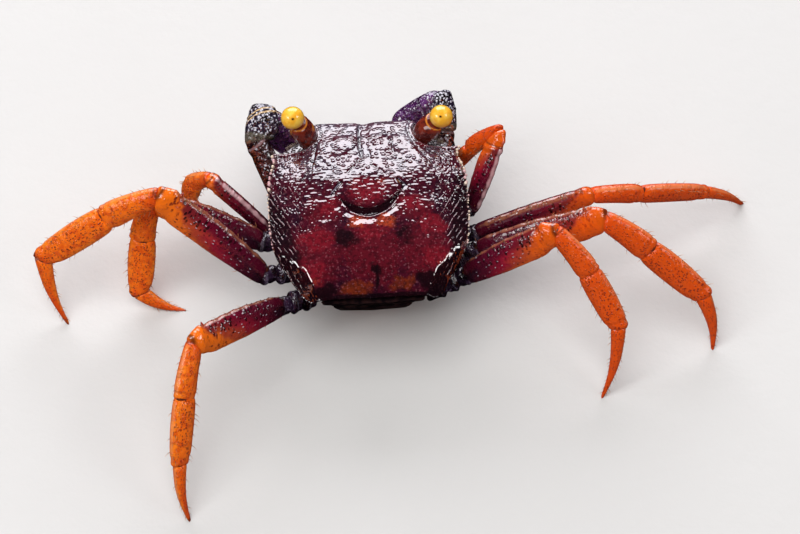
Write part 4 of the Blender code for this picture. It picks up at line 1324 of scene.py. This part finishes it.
def claws():
    finishes = {
        "arm": claw_finish("grainy_brown_arm", NIGHT, ARM_BROWN, 0.30, -0.02),
        "wrist": claw_finish("black_wrist_painted_glints", NIGHT, WRIST_BLUE, 0.26, 0.13),
        "palm": claw_finish("grainy_violet_palm", VIOLET, PALM_DARK, 0.24, 0.02),
    }
    violet, soft = finger_finish(), membrane_finish("dark_claw_joint_skin", NIGHT, BARK)
    upward = np.array((0.0, 0.0, 1.0))
    for side in SIDES:
        nodes = [f"{side}_claw_{part}" for part in CLAW_PARTS]
        spots = limb_joints(nodes)
        for node, part, start, end in zip(nodes, CLAW_PARTS, spots, spots[1:]):
            thing = limb_skin(node, start, end, upward, LEG_FACE, CLAW_FULLER)
            along = read_mark(thing, "along")
            u, v = across_ahead(points_of(thing))
            ahead = v + LEFT_BAND_LEAN * (u - LEFT_BANDS_ACROSS)
            bands = np.max([np.exp(-((ahead - at) / 0.10) ** 2) for at in LEFT_BANDS], axis=0)
            # Where a claw faces up, and so where its glints are painted.
            frost = ease(normals_of(thing)[:, 2], 0.0, 0.8)
            if side == "right":
                frost *= ease(-u, 4.6, 6.0)
            if part == "wrist":
                points = points_of(thing)
                points[:, 0] -= WRIST_WIDER[side] * MM * ease(-normals_of(thing)[:, 0], 0.0, 0.8)
                move_points(thing, points)
            paint(
                thing,
                frost=frost,
                band=bands * (part != "arm" and side == "left"),
                pale_rim=np.exp(-((along - 0.97) / 0.015) ** 2) * (part == "arm"),
                olive=ease(0.24 - along, 0.0, 0.1) * (part == "wrist"),
            )
            dress(thing, finishes[part], "claw", node)
        finger = f"{side}_claw_finger"
        start = meeting(nodes[-1], finger)[0]
        thing = limb_skin(finger, start, tip_of(finger, start), upward, LEG_FACE, CLAW_FULLER)
        dress(thing, violet, "pale_finger", finger)
        for first, second in zip(nodes, nodes[1:]):
            membrane(first, second, soft, "claw")


# Setting

def camera_way():
    """Direction from the crab to the camera."""
    turn, up = math.radians(CAMERA_TURN), math.radians(CAMERA_UP)
    return Vector((math.sin(turn) * math.cos(up), math.cos(turn) * math.cos(up), math.sin(up)))


def camera():
    eye = bpy.data.cameras.new("camera")
    eye.lens = LENS
    eye.sensor_width = SENSOR
    eye.clip_start, eye.clip_end = CAMERA_SEES
    thing = bpy.data.objects.new("camera", eye)
    bpy.context.scene.collection.objects.link(thing)
    target = place(*LOOK_AT, 0.0)
    thing.location = target + camera_way() * CAMERA_FAR * MM
    thing.rotation_euler = (-camera_way()).to_track_quat("-Z", "Y").to_euler()
    bpy.context.scene.camera = thing


def soft_light(name, azimuth, up, far, size, power, mirrored, colour):
    a, e = math.radians(azimuth), math.radians(up)
    way = Vector((math.sin(a) * math.cos(e), -math.cos(a) * math.cos(e), math.sin(e)))
    lamp = bpy.data.lights.new(name, "AREA")
    lamp.shape = "RECTANGLE"
    lamp.size, lamp.size_y = size
    lamp.energy = power
    lamp.color = colour
    thing = bpy.data.objects.new(name, lamp)
    bpy.context.scene.collection.objects.link(thing)
    thing.location = place(0.0, 0.0, 0.0) + way * far
    thing.rotation_euler = (-way).to_track_quat("-Z", "Y").to_euler()
    thing.visible_glossy = mirrored


def floor():
    bpy.ops.mesh.primitive_plane_add(size=4.0, location=(0.0, 0.0, 0.0))
    thing = bpy.context.object
    thing.name = "floor"
    paper = Finish("pale_floor", 0.9)
    paper.colour = paper.mixed(FLOOR_GREY, FLOOR_PALE, paper.cloud(30.0))
    paper.emboss(0.05, paper.cloud(1.5))
    thing.data.materials.append(paper.done())
    thing.visible_glossy = False


def setting():
    camera()
    floor()
    for name, values in SOFTBOXES.items():
        soft_light(name, *values)
    sky = bpy.data.worlds.new("studio")
    sky.use_nodes = True
    light = sky.node_tree.nodes["Background"].inputs
    light["Color"].default_value = (*WHITE, 1.0)
    light["Strength"].default_value = SKY_STRENGTH
    sky.cycles_visibility.glossy = False
    bpy.context.scene.world = sky
    bpy.context.scene.view_settings.view_transform = "Standard"


setting()
shell()
underside()
eyes()
claws()
legs()
